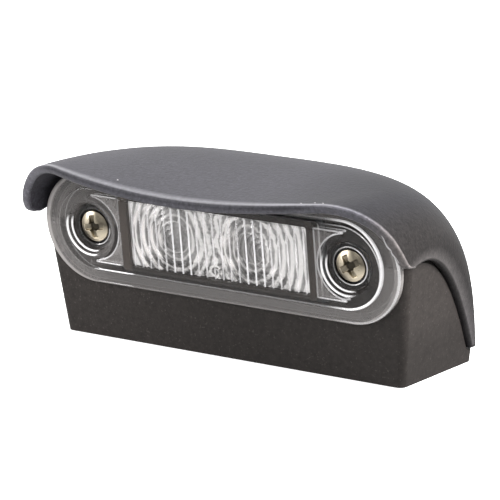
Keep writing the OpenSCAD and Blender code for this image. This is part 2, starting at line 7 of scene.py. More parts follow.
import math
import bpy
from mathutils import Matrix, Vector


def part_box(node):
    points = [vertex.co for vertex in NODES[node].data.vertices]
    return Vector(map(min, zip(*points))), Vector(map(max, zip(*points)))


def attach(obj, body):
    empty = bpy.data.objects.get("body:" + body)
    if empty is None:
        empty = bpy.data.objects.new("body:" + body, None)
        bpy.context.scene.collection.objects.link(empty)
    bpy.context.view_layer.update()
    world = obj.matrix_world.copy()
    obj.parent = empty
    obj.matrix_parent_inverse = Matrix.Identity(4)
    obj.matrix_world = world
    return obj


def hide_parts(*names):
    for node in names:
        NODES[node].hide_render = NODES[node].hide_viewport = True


bl_info = {
    "name": "Number Plate Lamp",
    "version": (1, 0, 0),
    "blender": (4, 5, 0),
    "location": "View3D > Sidebar > Plate Lamp",
    "description": "Builds the visible number plate lamp and its studio",
    "category": "Object",
}

import bmesh
import bpy
import numpy as np
from mathutils import Vector

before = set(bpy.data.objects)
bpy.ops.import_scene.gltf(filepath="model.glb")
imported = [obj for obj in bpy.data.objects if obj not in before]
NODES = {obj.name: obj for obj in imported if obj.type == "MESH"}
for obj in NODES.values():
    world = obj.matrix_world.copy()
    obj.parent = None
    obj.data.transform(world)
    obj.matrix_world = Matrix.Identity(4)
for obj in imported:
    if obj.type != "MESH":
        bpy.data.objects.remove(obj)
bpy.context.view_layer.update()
MM = 1000.0

# The lens plane leans with the plinth's face, its top further forward
REAR_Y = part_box("base_housing")[1][1]
FRONT_Y = -REAR_Y
FACE_LEAN = math.radians(7.2)
LENS_Z = 0.0231
LENS_CENTRE = Vector((0.0, FRONT_Y - LENS_Z * math.tan(FACE_LEAN), LENS_Z))
LENS_UP = Vector((0.0, -math.sin(FACE_LEAN), math.cos(FACE_LEAN)))
LENS_OUT = Vector((0.0, -math.cos(FACE_LEAN), -math.sin(FACE_LEAN)))
SCREW_PITCH = 0.06

# The hood's mesh: steps along its arch, rows from front to back, and how much the steps crowd
# towards the sides and the rows towards the front
HOOD_ARCH_STEPS = 220
HOOD_ROWS = 90
ARCH_CROWDING = 1.25
ROW_CROWDING = 1.5
# Rounding of the hood's lips, whose squareness would be 2 for a half circle
LIP_SQUARENESS = 3.4
LIP_STEPS = 12
CAP_ANGLES = (6, 14, 24, 35, 47, 60, 72, 82)
# Way back and share of the arch at which a second point shows how the sheet runs to its edges
WAY_PROBE = 0.02
SIDE_PROBE = 0.96

# Painted highlights and painted shade along the lips, which the hood's mesh hands to its material
PAINTED_LIP_LIGHT_ATTRIBUTE = "rim"
# Way back over which the front lip's painted highlight fades on top of the sheet
RIM_FADE = 0.009
# Painted shade darkens the front lip round its cap, this much faster than the cap turns, down to a least
# value
RIM_TURN = 2.4
RIM_DARKEST = -0.45
# Painted light on the front lip's inner side
LIP_UNDERSIDE = 0.5
# Least painted light on the lip towards the right and the left, and where across it sets in
LIP_ENDS = ((0.6, (0.024, 0.033)), (0.55, (-0.03, -0.038)))
# Painted highlight on the hood's side edges, and the distance over which it fades
SIDE_RIM = 0.5
SIDE_FADE = 0.0026
# How much lighter the hood's tone is where the painted lip light is 1
RIM_CONTRAST = 1.1
# Places across, from front to back or up, between which painted light and shade change the tones of hood
# and plinth: on the hood painted shade to the right, a lighter painted left end, stronger painted lip light
# on the right, a warmer painted tint on the shaded right side and painted shade towards the rear; on the
# plinth painted shade to the right and painted light on its right-hand side above the foot
HOOD_SHADED = (0.012, 0.034)
HOOD_LIT_LEFT_END = (-0.032, -0.041)
HOOD_RIGHT_LIP_HIGHLIGHT = (0.012, 0.03)
HOOD_WARM_SHADE = (0.036, 0.0445)
HOOD_SHADED_REAR = (-0.018, -0.002)
PLINTH_SHADED = (-0.036, 0.01)
PLINTH_LIT_SIDE = (0.0395, 0.041)
PLINTH_LIT_ABOVE_FOOT = (0.005, 0.014)
# Specular level of the satin plastics
SATIN_SHINE = 0.17

# Wear seen in the photo: places on the hood's sheet, as arch position and way back
SCUFFS = ((0.439, 0.0065), (0.478, 0.0103), (0.51, 0.0075), (-0.253, 0.0168))
SCUFF_RADIUS = 0.00013
SCUFF_SHAPE = (1.6, 1.0, 0.8)
SCUFFED = (0.42, 0.41, 0.42)
SCUFFED_ROUGHNESS = 0.6
# Moulding flash on the lip: its stretch of the arch, how it wanders towards the inside, how far
# out on the lip it lies, and its width
BURR_START = 0.8
BURR_END = 0.965
BURR_WAVE = (0.1, 0.3, 0.7, 0.9, 0.6, 0.9, 0.5, 0.4, 0.2)
BURR_REST = 0.9
BURR_WIDTH = 0.0002

# Steps along the outlines of the lens
STADIUM_ARC_STEPS = 48
STADIUM_SIDE_STEPS = 40
CIRCLE_STEPS = 72
PAD_ARC_STEPS = 48
PAD_STEP = 0.0004
BEAD_SIDES = 10
# Distance across at which a bead has swollen by its full share, widening the painted edge highlights at the
# right-hand end
BEAD_REACH = 0.038
# The glowing beads, rounded edges that carry painted highlights, lie this far inside and below the edges
# that they round
FLANGE_BEAD_INSIDE = 0.00035
FLANGE_BEAD_SUNK = 0.0003
TERRACE_BEAD_INSIDE = 0.0003
TERRACE_BEAD_SUNK = 0.0002
WELL_BEAD_SUNK = 0.0001
# Heights of the lowest beads over the plinth's face
RECESS_BEAD_HEIGHT = 0.0004
PAD_FOOT_HEIGHT = 0.0002
# Thickness of the pads' hazy sheets
PAD_SHEET = 0.00005
# The pads' tips end this share of the arc's radius beside the screw's axis
PAD_TIP_SHARE = 0.1
# The left pad is hazier than the right one by this share, and the painted highlight along its straight side
# is faint
PAD_LEFT_HAZE = 0.9
PAD_SIDE_FADE = 0.8

# From here to the mask's bars, places on the lens and lengths are in millimetres
PAD_SIDE_REACH = 0.4
# Haze of the clear cover: soft border of the terrace, upper part of the flange with less haze as a painted
# shadow of the visor, and rim
TERRACE_BORDER = 0.1
FLANGE_SHADED = (0.7, 1.5)
FLANGE_RIM = (-0.7, -0.2)
# Painted light on the left well's wall, from its inner to its outer side, and the haze at the lens's left
# end
WELL_INNER = (3.8, 4.3)
WELL_OUTER = (6.4, 5.9)
LEFT_END = (-24.0, -31.0)
LEFT_END_OFF_WELL = (4.6, 5.2)
# Painted highlights on the cover's outlines: the right-hand end, and a stretch at the lower left
GLINT_RIGHT = (24.0, 32.0)
GLINT_LEFT_AT = -25.5
GLINT_LEFT_REACH = (4.6, 3.8)
# Direction of the painted light that the rings round the screw wells catch, across and up
LIGHT_ACROSS = -0.75
LIGHT_UP = -0.66
# The ridges are painted white in front of the light sources, a painted highlight
RIDGE_OFFSET = 8.65
RIDGE_SHIFT = 0.35
RIDGE_WHITE = (3.2, 2.4)
# Painted glow of the two light sources in the optic, as the flutes would show it
GLOW_OFFSET = 8.8
GLOW_SHIFT = -1.0
GLOW_RISE = 0.6
GLOW_FLAT = (3.7, 3.3)
GLOW_COLUMN = (3.9, 3.2)
GLOW_RING = 3.55
# The rings of both sources cross here, and the pattern is wilder round it
CROSSING_AT = -0.8
CROSSING_REACH = (5.5, 1.5)
# Distance from a source inside which the arcs grow thinner
ARCS_FROM = 6.4
OPTIC_FOOT = (-3.2, -5.0)
OPTIC_FOOT_ACROSS = (19.5, 15.0)
# Round pip at the foot of the optic's middle, with a dark line inside its bright one
PIP_ASIDE = -1.1
PIP_DROP = 5.3
PIP_RADIUS = 1.1
PIP_DARK_INSIDE = 0.45
# From nothing to full strength across half a drawn line
BRIGHT_LINE = (0.3, 0.1)
DARK_LINE = (0.25, 0.1)
# The mask's bars, lighter with painted light, start beside the window's edge
MASK_LIT_BAR = (-0.6, 0.2)

# Lag of the optic's painted bands behind the flutes and the bands' bright borders, in shares of a flute
OPTIC_PHASE = 0.38
BAND_BORDER = (0.4, 0.47)
# Magnification of the flutes
FLUTE_POWER = 1.3
# First ridge from the window's edge, as a share of a flute
RIDGE_PHASE = 0.66
RIDGE_RADIUS = 0.00016
RIDGE_SIDES = 8
RIDGE_SHORTER = 0.0004
RIDGE_CLEARANCE = 0.00005

# Rings and segments of the screws, and the angles at which they were tightened
SCREW_RINGS = 70
SCREW_SEGMENTS = 180
TURNED_LEFT = 8
TURNED_RIGHT = 28
# Depth share of the recess, which the screws' material turns into painted shade
SUNK_SHADE_ATTRIBUTE = "sunk"
# Each wing of the recess ends from this share of its reach on, and its floor rises by this share
WING_END = 0.85
WING_RISE = 0.6
HEAD_RIM_ANGLES = (20, 45, 70, 90)

# Plain finishes: name, colour, roughness, metallic share and the nodes that have it
PLINTH_PLAIN = (
    ("floor_black", (0.03, 0.03, 0.03), 0.6, 0.0, ("floor_plate",)),
    ("grommet_rubber", (0.02, 0.02, 0.02), 0.7, 0.0, ("cable_grommet",)),
)
LENS_PLAIN = (("gasket_rubber", (0.02, 0.02, 0.02), 0.7, 0.0, ("lens_gasket",)),)
MODULE_PLAIN = (
    ("tray_satin", (0.04, 0.04, 0.042), 0.5, 0.0, ("module_tray",)),
    ("board_white", (0.7, 0.71, 0.7), 0.5, 0.0, ("circuit_board",)),
    ("phosphor", (0.85, 0.7, 0.2), 0.4, 0.0, ("led_left", "led_right")),
    ("chip_black", (0.03, 0.03, 0.03), 0.5, 0.0, ("driver_chip", "polarity_diode")),
    ("fired_ceramic", (0.3, 0.24, 0.17), 0.6, 0.0,
     ("resistor_left", "resistor_right", "input_capacitor")),
    ("tinned_brass", (0.75, 0.72, 0.66), 0.3, 1.0, ("blade_terminals",)),
    ("cast_resin", (0.05, 0.05, 0.055), 0.2, 0.0, ("potting_resin",)),
)
INSERT_PLAIN = (("turned_brass", (0.7, 0.5, 0.22), 0.35, 1.0, ("insert_left", "insert_right")),)

# Studio lamps: name, place, what they face, width, height and power
LAMPS = (
    ("top_box", (-0.3, 0.0, 0.6), (0.0, 0.0, 0.02), 0.6, 0.6, 4.0),
    ("right_box", (0.45, 0.1, 0.32), (0.02, 0.0, 0.02), 0.2, 0.2, 7.0),
    ("left_box", (-0.5, -0.4, 0.25), (0.0, 0.0, 0.02), 0.4, 0.4, 2.6),
    ("front_box", (0.15, -0.75, 0.5), (0.0, 0.0, 0.02), 0.3, 0.2, 2.2),
)
HIDDEN_IN_MIRRORS = ("right_box",)
# Brightness of the white studio by the kind of ray that meets it
SKY_DIFFUSE = 0.35
SKY_MIRRORED = 1.3
FLOOR_DIFFUSE = 0.5
FLOOR_MIRRORED = 0.85
FLOOR_SEEN = 0.9
FLOOR_GLOW = 0.75
FLOOR_HALF = 4.0
FLOOR_Z = -0.0001
# The camera, fitted to the photo
CAMERA_YAW = math.radians(34.543)
CAMERA_RISE = math.radians(13.051)
CAMERA_DISTANCE = 0.629754
CAMERA_AIM = Vector((0.004945, -0.01275, 0.022203))
CAMERA_LENS = 236.008
CAMERA_SENSOR = 36.0
CAMERA_CLIP = (0.01, 20.0)


def arithmetic(operation):
    """An operator of two numbers and its reflected form, each one Math node."""

    def forward(self, other):
        return self.op(operation, self, other)

    def reflected(self, other):
        return self.op(operation, other, self)

    return forward, reflected


class Value:
    """A number that flows through a node tree, with ordinary arithmetic."""

    def __init__(self, net, socket):
        self.net = net
        self.socket = socket

    def op(self, operation, *numbers):
        return self.net.add("ShaderNodeMath", {"operation": operation}, dict(enumerate(numbers))).out()

    __add__, __radd__ = arithmetic("ADD")
    __sub__, __rsub__ = arithmetic("SUBTRACT")
    __mul__, __rmul__ = arithmetic("MULTIPLY")
    __truediv__, __rtruediv__ = arithmetic("DIVIDE")
    __pow__, __rpow__ = arithmetic("POWER")
    __lt__, __gt__ = arithmetic("LESS_THAN")[0], arithmetic("GREATER_THAN")[0]
    at_least, at_most = arithmetic("MAXIMUM")[0], arithmetic("MINIMUM")[0]

    def __abs__(self):
        return self.op("ABSOLUTE", self)

    def floor(self):
        return self.op("FLOOR", self)

    def sine(self):
        return self.op("SINE", self)

    def step(self, low, high):
        """Rises smoothly from 0 at low to 1 at high, or falls where low is the greater."""
        return self.net.add("ShaderNodeMapRange", {"interpolation_type": "SMOOTHSTEP"},
                            {"Value": self, "From Min": low, "From Max": high}).out()

    def mix(self, a, b):
        """a where this value is 0 and b where it is 1."""
        return a + self * (b - a)


class Node:
    """A node of a Net, whose outputs are read by name or index."""

    def __init__(self, net, node):
        self.net = net
        self.node = node

    def out(self, key=0):
        return Value(self.net, self.node.outputs[key])


class Net:
    """A shader or geometry node tree that is written one node at a time."""

    def __init__(self, tree):
        self.tree = tree

    def add(self, kind, settings=None, inputs=None):
        node = self.tree.nodes.new(kind)
        for key, value in (settings or {}).items():
            setattr(node, key, value)
        for key, value in (inputs or {}).items():
            if isinstance(value, Value):
                self.tree.links.new(value.socket, node.inputs[key])
            else:
                node.inputs[key].default_value = value
        return Node(self, node)

    def split(self, vector):
        parts = self.add("ShaderNodeSeparateXYZ", inputs={0: vector})
        return [parts.out(i) for i in range(3)]

    def noise(self, vector, scale, detail=2.0, roughness=0.5):
        return self.add("ShaderNodeTexNoise", {"noise_dimensions": "3D"}, {
            "Vector": vector, "Scale": scale, "Detail": detail, "Roughness": roughness}).out()

    def attribute(self, name):
        return self.add("ShaderNodeAttribute", {"attribute_name": name}).out("Fac")

    def bump(self, height, strength, distance):
        return self.add("ShaderNodeBump", inputs={
            "Strength": strength, "Distance": distance, "Height": height}).out()

    def colours(self, value, stops):
        """Colour ramp with its stops as places and colours."""
        node = self.add("ShaderNodeValToRGB", inputs={0: value})
        ramp = node.node.color_ramp
        while len(ramp.elements) < len(stops):
            ramp.elements.new(0.5)
        for element, (at, tint) in zip(ramp.elements, stops):
            element.position = at
            element.color = (*tint, 1.0)
        return node.out()

    def blend(self, factor, a, b, mode="MIX"):
        """Two colours blended, each given as a tint or as a Value."""
        node = self.add("ShaderNodeMix", {"data_type": "RGBA", "blend_type": mode}, {0: factor})
        for key, value in ((6, a), (7, b)):
            if isinstance(value, Value):
                self.tree.links.new(value.socket, node.node.inputs[key])
            else:
                node.node.inputs[key].default_value = (*value, 1.0)
        return node.out(2)

    def toned(self, tint, tone):
        """The tint multiplied by a grey tone."""
        grey = self.add("ShaderNodeCombineColor", inputs={0: tone, 1: tone, 2: tone}).out()
        return self.blend(1.0, tint, grey, "MULTIPLY")

    def see_through(self, share, surface, clearness=1.0):
        """Clear plastic that shows this share of a surface."""
        tint = (clearness, clearness, clearness, 1.0)
        clear = self.add("ShaderNodeBsdfTransparent", inputs={"Color": tint})
        shown = self.add("ShaderNodeBsdfPrincipled", inputs=surface)
        return self.add("ShaderNodeMixShader", inputs={0: share, 1: clear.out(), 2: shown.out()})

    def by_ray(self, seen, mirrored, other):
        """One shader for what the camera sees, one for mirrors and one for all other light."""
        rays = self.add("ShaderNodeLightPath")
        lit = self.add("ShaderNodeMixShader", inputs={
            0: rays.out("Is Glossy Ray"), 1: other.out(), 2: mirrored.out()})
        return self.add("ShaderNodeMixShader", inputs={
            0: rays.out("Is Camera Ray"), 1: lit.out(), 2: seen.out()})


def new_material(name):
    material = bpy.data.materials.new(name)
    material.use_nodes = True
    material.node_tree.nodes.clear()
    return material, Net(material.node_tree)


def finished(material, net, shader):
    """Ends the tree with this shader and hands the material back."""
    net.add("ShaderNodeOutputMaterial", inputs={"Surface": shader.out()})
    return material


def opaque(material, net, surface):
    """Ends the tree with this surface and hands the material back."""
    return finished(material, net, net.add("ShaderNodeBsdfPrincipled", inputs=surface))


def place(net):
    return net.add("ShaderNodeTexCoord").out("Object")


def lens_place(net):
    """Distances across the lens and up its face from the lens centre, in millimetres."""
    x, y, z = net.split(place(net))
    up = (y - LENS_CENTRE.y) * LENS_UP.y + (z - LENS_CENTRE.z) * LENS_UP.z
    return x * MM, up * MM


def on_lens(across, up, out):
    """Point at these distances from the lens centre, on the plinth's face where out is 0."""
    return LENS_CENTRE + Vector((across, 0.0, 0.0)) + LENS_UP * up + LENS_OUT * out


def side_of(u, middle=0.0):
    """-1 on the left of the middle and 1 on its right."""
    return (u > middle) * 2.0 - 1.0


def distance(a, b, weight=1.0):
    """Length of a and b taken at right angles, with b's square weighted."""
    return (a * a + b * b * weight) ** 0.5


def hood_material(finish):
    """Satin slate grey with a mottle, painted highlights and shade along the lips, painted shade and a
    warmer painted tint towards the right, a lighter painted left end and painted shade towards the rear.
    """
    material, net = new_material("hood_satin")
    p = place(net)
    x, y, _ = net.split(p)
    mottle = net.noise(p, 1300.0, detail=3.0, roughness=0.7)
    cloud = net.noise(p, 60.0)
    specks = net.noise(p, 2300.0, detail=1.0).step(0.62, 0.72)
    # Painted light: a lighter left end, the lips' painted highlights and shade, and painted shade to the
    # right
    left = x.step(*HOOD_LIT_LEFT_END)
    rim = net.attribute(PAINTED_LIP_LIGHT_ATTRIBUTE).at_least(left * 0.5 - 0.35)
    shaded = x.step(*HOOD_SHADED) * 0.55 * (1.0 - rim)
    lit = rim * RIM_CONTRAST * (1.0 + 0.8 * x.step(*HOOD_RIGHT_LIP_HIGHLIGHT) + 0.5 * left)
    tone = (-0.1 + mottle * 2.0 + cloud * 0.2 + specks * 0.45) * (1.0 - shaded) * (1.0 + lit)
    # Painted light on the left end and painted shade towards the rear
    tone = tone * (1.0 + 0.4 * left) * (1.0 - 0.2 * y.step(*HOOD_SHADED_REAR))
    return opaque(material, net, {
        # A warmer tint painted on the shaded right-hand side
        "Base Color": net.toned(net.blend(x.step(*HOOD_WARM_SHADE), finish.hood, finish.hood_shade_tint), tone),
        "Roughness": 0.42 - rim * 0.12 + mottle * 0.14, "Specular IOR Level": SATIN_SHINE,
        "Coat Weight": rim.at_least(0.0) * 0.8, "Coat Roughness": 0.3,
        "Normal": net.bump(mottle, 0.8, 0.00011)})


def plinth_material(finish):
    """Grained black plastic, with painted shade towards the right and painted light on its right-hand side.
    """
    material, net = new_material("plinth_grained")
    p = place(net)
    x, _, z = net.split(p)
    grain = net.noise(p, 2600.0, roughness=0.6)
    mottle = net.noise(p, 900.0, detail=3.0, roughness=0.6)
    specks = net.noise(p, 2100.0, detail=1.0).step(0.64, 0.74)
    tone = 0.2 + mottle * 0.8 + grain * 0.6 + specks * 0.7
    # Painted shade towards the right, and painted light on the right-hand side above the foot
    tone = tone * (1.0 - 0.35 * x.step(*PLINTH_SHADED))
    tone = tone * (1.0 + 0.4 * x.step(*PLINTH_LIT_SIDE) * z.step(*PLINTH_LIT_ABOVE_FOOT))
    return opaque(material, net, {
        "Base Color": net.toned(finish.plinth, tone), "Roughness": 0.5 + grain * 0.15,
        "Specular IOR Level": SATIN_SHINE, "Normal": net.bump(grain * 0.6 + mottle * 0.4, 0.3, 0.00008)})


def clear_material(finish, lens):
    """Clear plastic: what lies behind shows through a faint haze, under a sharp reflection; less haze
    paints the visor's shadow on the flange and more haze paints light on the left well's wall.
    """
    material, net = new_material("lens_clear")
    u, v = lens_place(net)
    half = lens.screw_pitch * MM / 2
    terrace, rim = lens.terrace_radius * MM, lens.flange_radius * MM
    beyond = (abs(u) - (half - lens.terrace_inset * MM)).at_least(0.0)
    ring = distance(beyond, v)
    flange = ring.step(terrace - TERRACE_BORDER, terrace + TERRACE_BORDER)
    outline = ring.step(*(rim + inside for inside in FLANGE_RIM)) * (0.22 + 0.4 * (u < -half))
    aside = u + half
    about = distance(aside, v)
    # Painted light on the left well's wall, as extra haze
    lit_well = about.step(*WELL_INNER) * about.step(*WELL_OUTER) * (aside / about).step(0.0, 0.8)
    left_end = u.step(*LEFT_END) * about.step(*LEFT_END_OFF_WELL)
    grain = net.noise(place(net), 1400.0, roughness=0.6)
    # Less haze on the flange's upper part is a painted shadow of the visor
    haze = 0.01 + flange * 0.27 * (1.0 - v.step(*FLANGE_SHADED) * 0.6) + outline
    haze = haze + lit_well * 0.26 + left_end * 0.13 + grain * 0.02
    body = net.see_through(haze, {"Base Color": (*finish.haze, 1.0), "Roughness": 0.5}, 0.93)
    gloss = net.add("ShaderNodeBsdfGlossy", inputs={"Color": (0.6, 0.6, 0.6, 1.0), "Roughness": 0.05})
    outside = 1.0 - net.add("ShaderNodeNewGeometry").out("Backfacing")
    mirrored = net.add("ShaderNodeFresnel", inputs={"IOR": 1.45}).out() * outside
    return finished(material, net, net.add("ShaderNodeMixShader", inputs={
        0: mirrored, 1: body.out(), 2: gloss.out()}))


def hazy_material(name, tint, share):
    """Clear plastic that scatters a share of the light, more of it on the left."""
    material, net = new_material(name)
    u, _ = lens_place(net)
    grain = net.noise(place(net), 700.0, roughness=0.6)
    cloudy = share * (0.8 + grain * 0.4) * (1.0 + PAD_LEFT_HAZE * (u < 0.0))
    return finished(material, net, net.see_through(cloudy, {
        "Base Color": (*tint, 1.0), "Roughness": 0.5}))


def lit_at_ends(u, v, patchy):
    """Painted light on the lens's outlines: at their right-hand end and along the lower left."""
    lower_left = abs(u - GLINT_LEFT_AT).step(*GLINT_LEFT_REACH) * (v < 0.0)
    return (u.step(*GLINT_RIGHT) * (0.55 + patchy * 0.7) + lower_left * 0.8).at_most(1.1)


def lit_round_screws(u, v, patchy, lens):
    """Painted light on the rings round each screw, at their lower left."""
    aside = u - side_of(u) * (lens.screw_pitch * MM / 2)
    facing = (aside * LIGHT_ACROSS + v * LIGHT_UP) / distance(aside, v)
    return facing.step(0.35, 0.8) * (0.5 + patchy) * (1.0 - 0.35 * (u > 0.0))


def edge_highlight_material(name, tint, low, high, lens=None, pads=None):
    """Rounded edge of clear plastic with a glowing painted highlight, from low where it's dull to high
    where painted light falls on it.

    The painted light falls round the screws of a lens, where one is given, and on the ends otherwise.
    """
    material, net = new_material(name)
    u, v = lens_place(net)
    patchy = net.noise(place(net), 160.0)
    lit = lit_round_screws(u, v, patchy, lens) if lens else lit_at_ends(u, v, patchy)
    share = (low + (high - low) * lit).at_least(low * 0.6).at_most(1.0)
    if pads:
        straight = pads.pad_side * MM + PAD_SIDE_REACH
        share = share * (1.0 - PAD_SIDE_FADE * (u < 0.0) * (abs(u) < straight))
    # The emission makes the painted highlight glow
    return finished(material, net, net.see_through(share, {
        "Base Color": (*tint, 1.0), "Roughness": 0.25, "Metallic": 0.7,
        "Emission Color": (*tint, 1.0), "Emission Strength": 0.45}))


def ridge_highlight_material(finish):
    """Ridges between the flutes with painted highlights that glow, white in front of the two light sources.
    """
    material, net = new_material("flute_ridge_highlights")
    u, _ = lens_place(net)
    near = abs(u - RIDGE_SHIFT - side_of(u) * RIDGE_OFFSET).step(*RIDGE_WHITE)
    share = 0.1 + net.noise(place(net), 500.0) * 0.4 + near * 0.65
    return finished(material, net, net.see_through(share, {
        "Base Color": (*finish.edge, 1.0), "Roughness": 0.4,
        "Emission Color": (*finish.edge, 1.0), "Emission Strength": 0.55}))


def optic_material(finish, lens):
    """Silvery ring optic seen through the flutes, with painted refraction: each flute bends its own part of
    the rings; the silvery tone is painted reflection and its emission painted glow.
    """
    material, net = new_material("optic_rings")
    u, v = lens_place(net)
    pitch, half = lens.window_width * MM / lens.flutes, lens.window_width * MM / 2
    cell = (u + half) / pitch - OPTIC_PHASE
    index = cell.floor()
    across = cell - index - 0.5
    bent = (index + 0.5 + OPTIC_PHASE) * pitch - half + across * pitch * FLUTE_POWER
    crossing = abs(u - CROSSING_AT).step(*CROSSING_REACH)
    warp = (net.noise(place(net), 260.0) - 0.5) * (0.6 + crossing * 4.0)
    aside = bent - side_of(u, CROSSING_AT) * GLOW_OFFSET - GLOW_SHIFT
    height = v - GLOW_RISE
    # Painted refraction: arcs round each source, thinner close to it, with a darker column in front of it
    column = abs(aside).step(*GLOW_COLUMN)
    radius = distance(aside, height, 0.8) + warp
    wave = (radius * (2 * math.pi / pitch) + 0.9).sine()
    arcs = (wave + ((radius - ARCS_FROM) * 0.22).at_most(0.1) - column * 0.5).step(-0.75, 0.5)
    line = abs(across).step(*BAND_BORDER) * (0.4 + 0.6 * column)
    tone = 0.42 + arcs * 0.4 + line * 0.25 - across * 0.12 - column * 0.06
    # The flat painted glow of each source, with its rim
    zone = distance(aside, height, 1.2) + warp * 0.4
    rim = abs(zone - GLOW_RING).step(*BRIGHT_LINE)
    tone = zone.step(*GLOW_FLAT).mix(tone, 0.35 + rim * 0.3 + across * 0.12 + warp * 0.25)
    pip = distance(u - PIP_ASIDE, v + PIP_DROP) - PIP_RADIUS
    tone = tone + abs(pip).step(*BRIGHT_LINE) * 0.4
    tone = tone - abs(pip + PIP_DARK_INSIDE).step(*DARK_LINE) * 0.35
    foot = v.step(*OPTIC_FOOT) * abs(u).step(*OPTIC_FOOT_ACROSS)
    fine = net.noise(place(net), 1500.0, roughness=0.6) - 0.5
    tone = tone - foot * 0.18 + fine * (0.2 + 0.8 * foot + 0.6 * crossing)
    dark, mid = (tuple(share * part for part in finish.optic) for share in (0.22, 0.62))
    base = net.colours(tone, [(0.0, (0.02, 0.018, 0.016)), (0.3, dark), (0.55, mid), (0.82, finish.optic)])
    # The emission is painted glow: the optic is no lamp
    return opaque(material, net, {
        "Base Color": base, "Roughness": 0.35, "Metallic": 0.35, "Emission Color": base,
        "Emission Strength": 0.26})


def mask_material(finish, lens):
    """Satin frame round the window, with painted light in the bars beside it and most in the left one."""
    material, net = new_material("mask_satin")
    u, _ = lens_place(net)
    half = lens.window_width * MM / 2
    mottle = net.noise(place(net), 1200.0, detail=3.0, roughness=0.55)
    # Painted light in the bars beside the window
    lit_bar = abs(u).step(*(half + beside for beside in MASK_LIT_BAR))
    tone = (0.85 + mottle * 0.3) * (1.0 + lit_bar * (0.8 + 1.6 * (u < 0.0)))
    return opaque(material, net, {
        "Base Color": net.toned(finish.mask, tone), "Roughness": 0.33 + mottle * 0.15,
        "Specular IOR Level": 0.2})


def screw_material(finish, lens):
    """Warm nickel with painted reflection, darker where it would mirror the hood, and painted shade in the
    recess.
    """
    material, net = new_material("warm_nickel")
    u, v = lens_place(net)
    aside = u - side_of(u) * (lens.screw_pitch * MM / 2)
    # Painted reflection and highlights across the head
    lit = (0.5 - aside * v * 0.16 - (aside + v) * 0.07).at_least(0.0).at_most(1.0)
    brushed = net.noise(place(net), 3000.0, roughness=0.6)
    # Painted shade in the recess
    tone = (0.25 + lit * 2.1 + brushed * 0.3) * (1.0 - 0.9 * net.attribute(SUNK_SHADE_ATTRIBUTE))
    return opaque(material, net, {
        "Base Color": net.toned(finish.screw, tone), "Roughness": 0.24 + brushed * 0.1,
        "Metallic": 1.0, "Normal": net.bump(brushed, 0.15, 0.00003)})


def plain_material(name, tint, roughness, metallic=0.0):
    """A named finish with a fine mottle in its colour and its surface."""
    material, net = new_material(name)
    mottle = net.noise(place(net), 1200.0, detail=3.0, roughness=0.55)
    return opaque(material, net, {
        "Base Color": net.toned(tint, 0.85 + mottle * 0.3), "Metallic": metallic,
        "Roughness": roughness + (mottle - 0.5) * 0.15, "Normal": net.bump(mottle, 0.1, 0.00003)})


def dress(node, material):
    """Gives a solid of the frame another finish."""
    for material_slot in NODES[node].material_slots:
        material_slot.material = material


def dress_plain(finishes):
    for name, tint, roughness, metallic, nodes in finishes:
        material = plain_material(name, tint, roughness, metallic)
        for node in nodes:
            dress(node, material)


def new_object(name, data):
    """A new object at the origin of the scene."""
    obj = bpy.data.objects.new(name, data)
    bpy.context.scene.collection.objects.link(obj)
    return obj


def mesh_object(name, points, faces, material, rounded=True):
    """Closed mesh whose faces point outwards."""
    mesh = bpy.data.meshes.new(name)
    mesh.from_pydata([tuple(p) for p in points], [], faces)
    mesh.validate()
    mesh.update()
    if rounded:
        mesh.polygons.foreach_set("use_smooth", [True] * len(mesh.polygons))
    mesh.materials.append(material)
    check = bmesh.new()
    check.from_mesh(mesh)
    if check.calc_volume(signed=True) < 0:
        bmesh.ops.reverse_faces(check, faces=check.faces)
        check.to_mesh(mesh)
    check.free()
    return new_object(name, mesh)


def path_object(name, loops, material, joined=True):
    """Closed paths as bare edges, or loose points, ready for a rule to build on."""
    points, edges = [], []
    for loop in loops:
        first, n = len(points), len(loop)
        points += [tuple(p) for p in loop]
        if joined:
            edges += [(first + i, first + (i + 1) % n) for i in range(n)]
    mesh = bpy.data.meshes.new(name)
    mesh.from_pydata(points, edges, [])
    mesh.materials.append(material)
    return new_object(name, mesh)


def give(obj, attribute, values):
    """Stores a number for each point of a mesh, for its material to read."""
    obj.data.attributes.new(attribute, "FLOAT", "POINT").data.foreach_set("value", values)


def band(a, b, n):
    """Faces between two rings of n points that start at a and at b."""
    return [(a + i, b + i, b + (i + 1) % n, a + (i + 1) % n) for i in range(n)]


def bezier(points, t):
    t = np.asarray(t)[..., None]
    a, b, c, d = (np.array(p) for p in points)
    return (1 - t) ** 3 * a + 3 * (1 - t) ** 2 * t * b + 3 * (1 - t) * t * t * c + t ** 3 * d


def unit(directions):
    return directions / np.linalg.norm(directions, axis=-1, keepdims=True)


def eased(low, high, value):
    """Rises from 0 at low to 1 at high with level ends."""
    t = ((value - low) / (high - low)).clip(0, 1)
    return t * t * (3 - 2 * t)


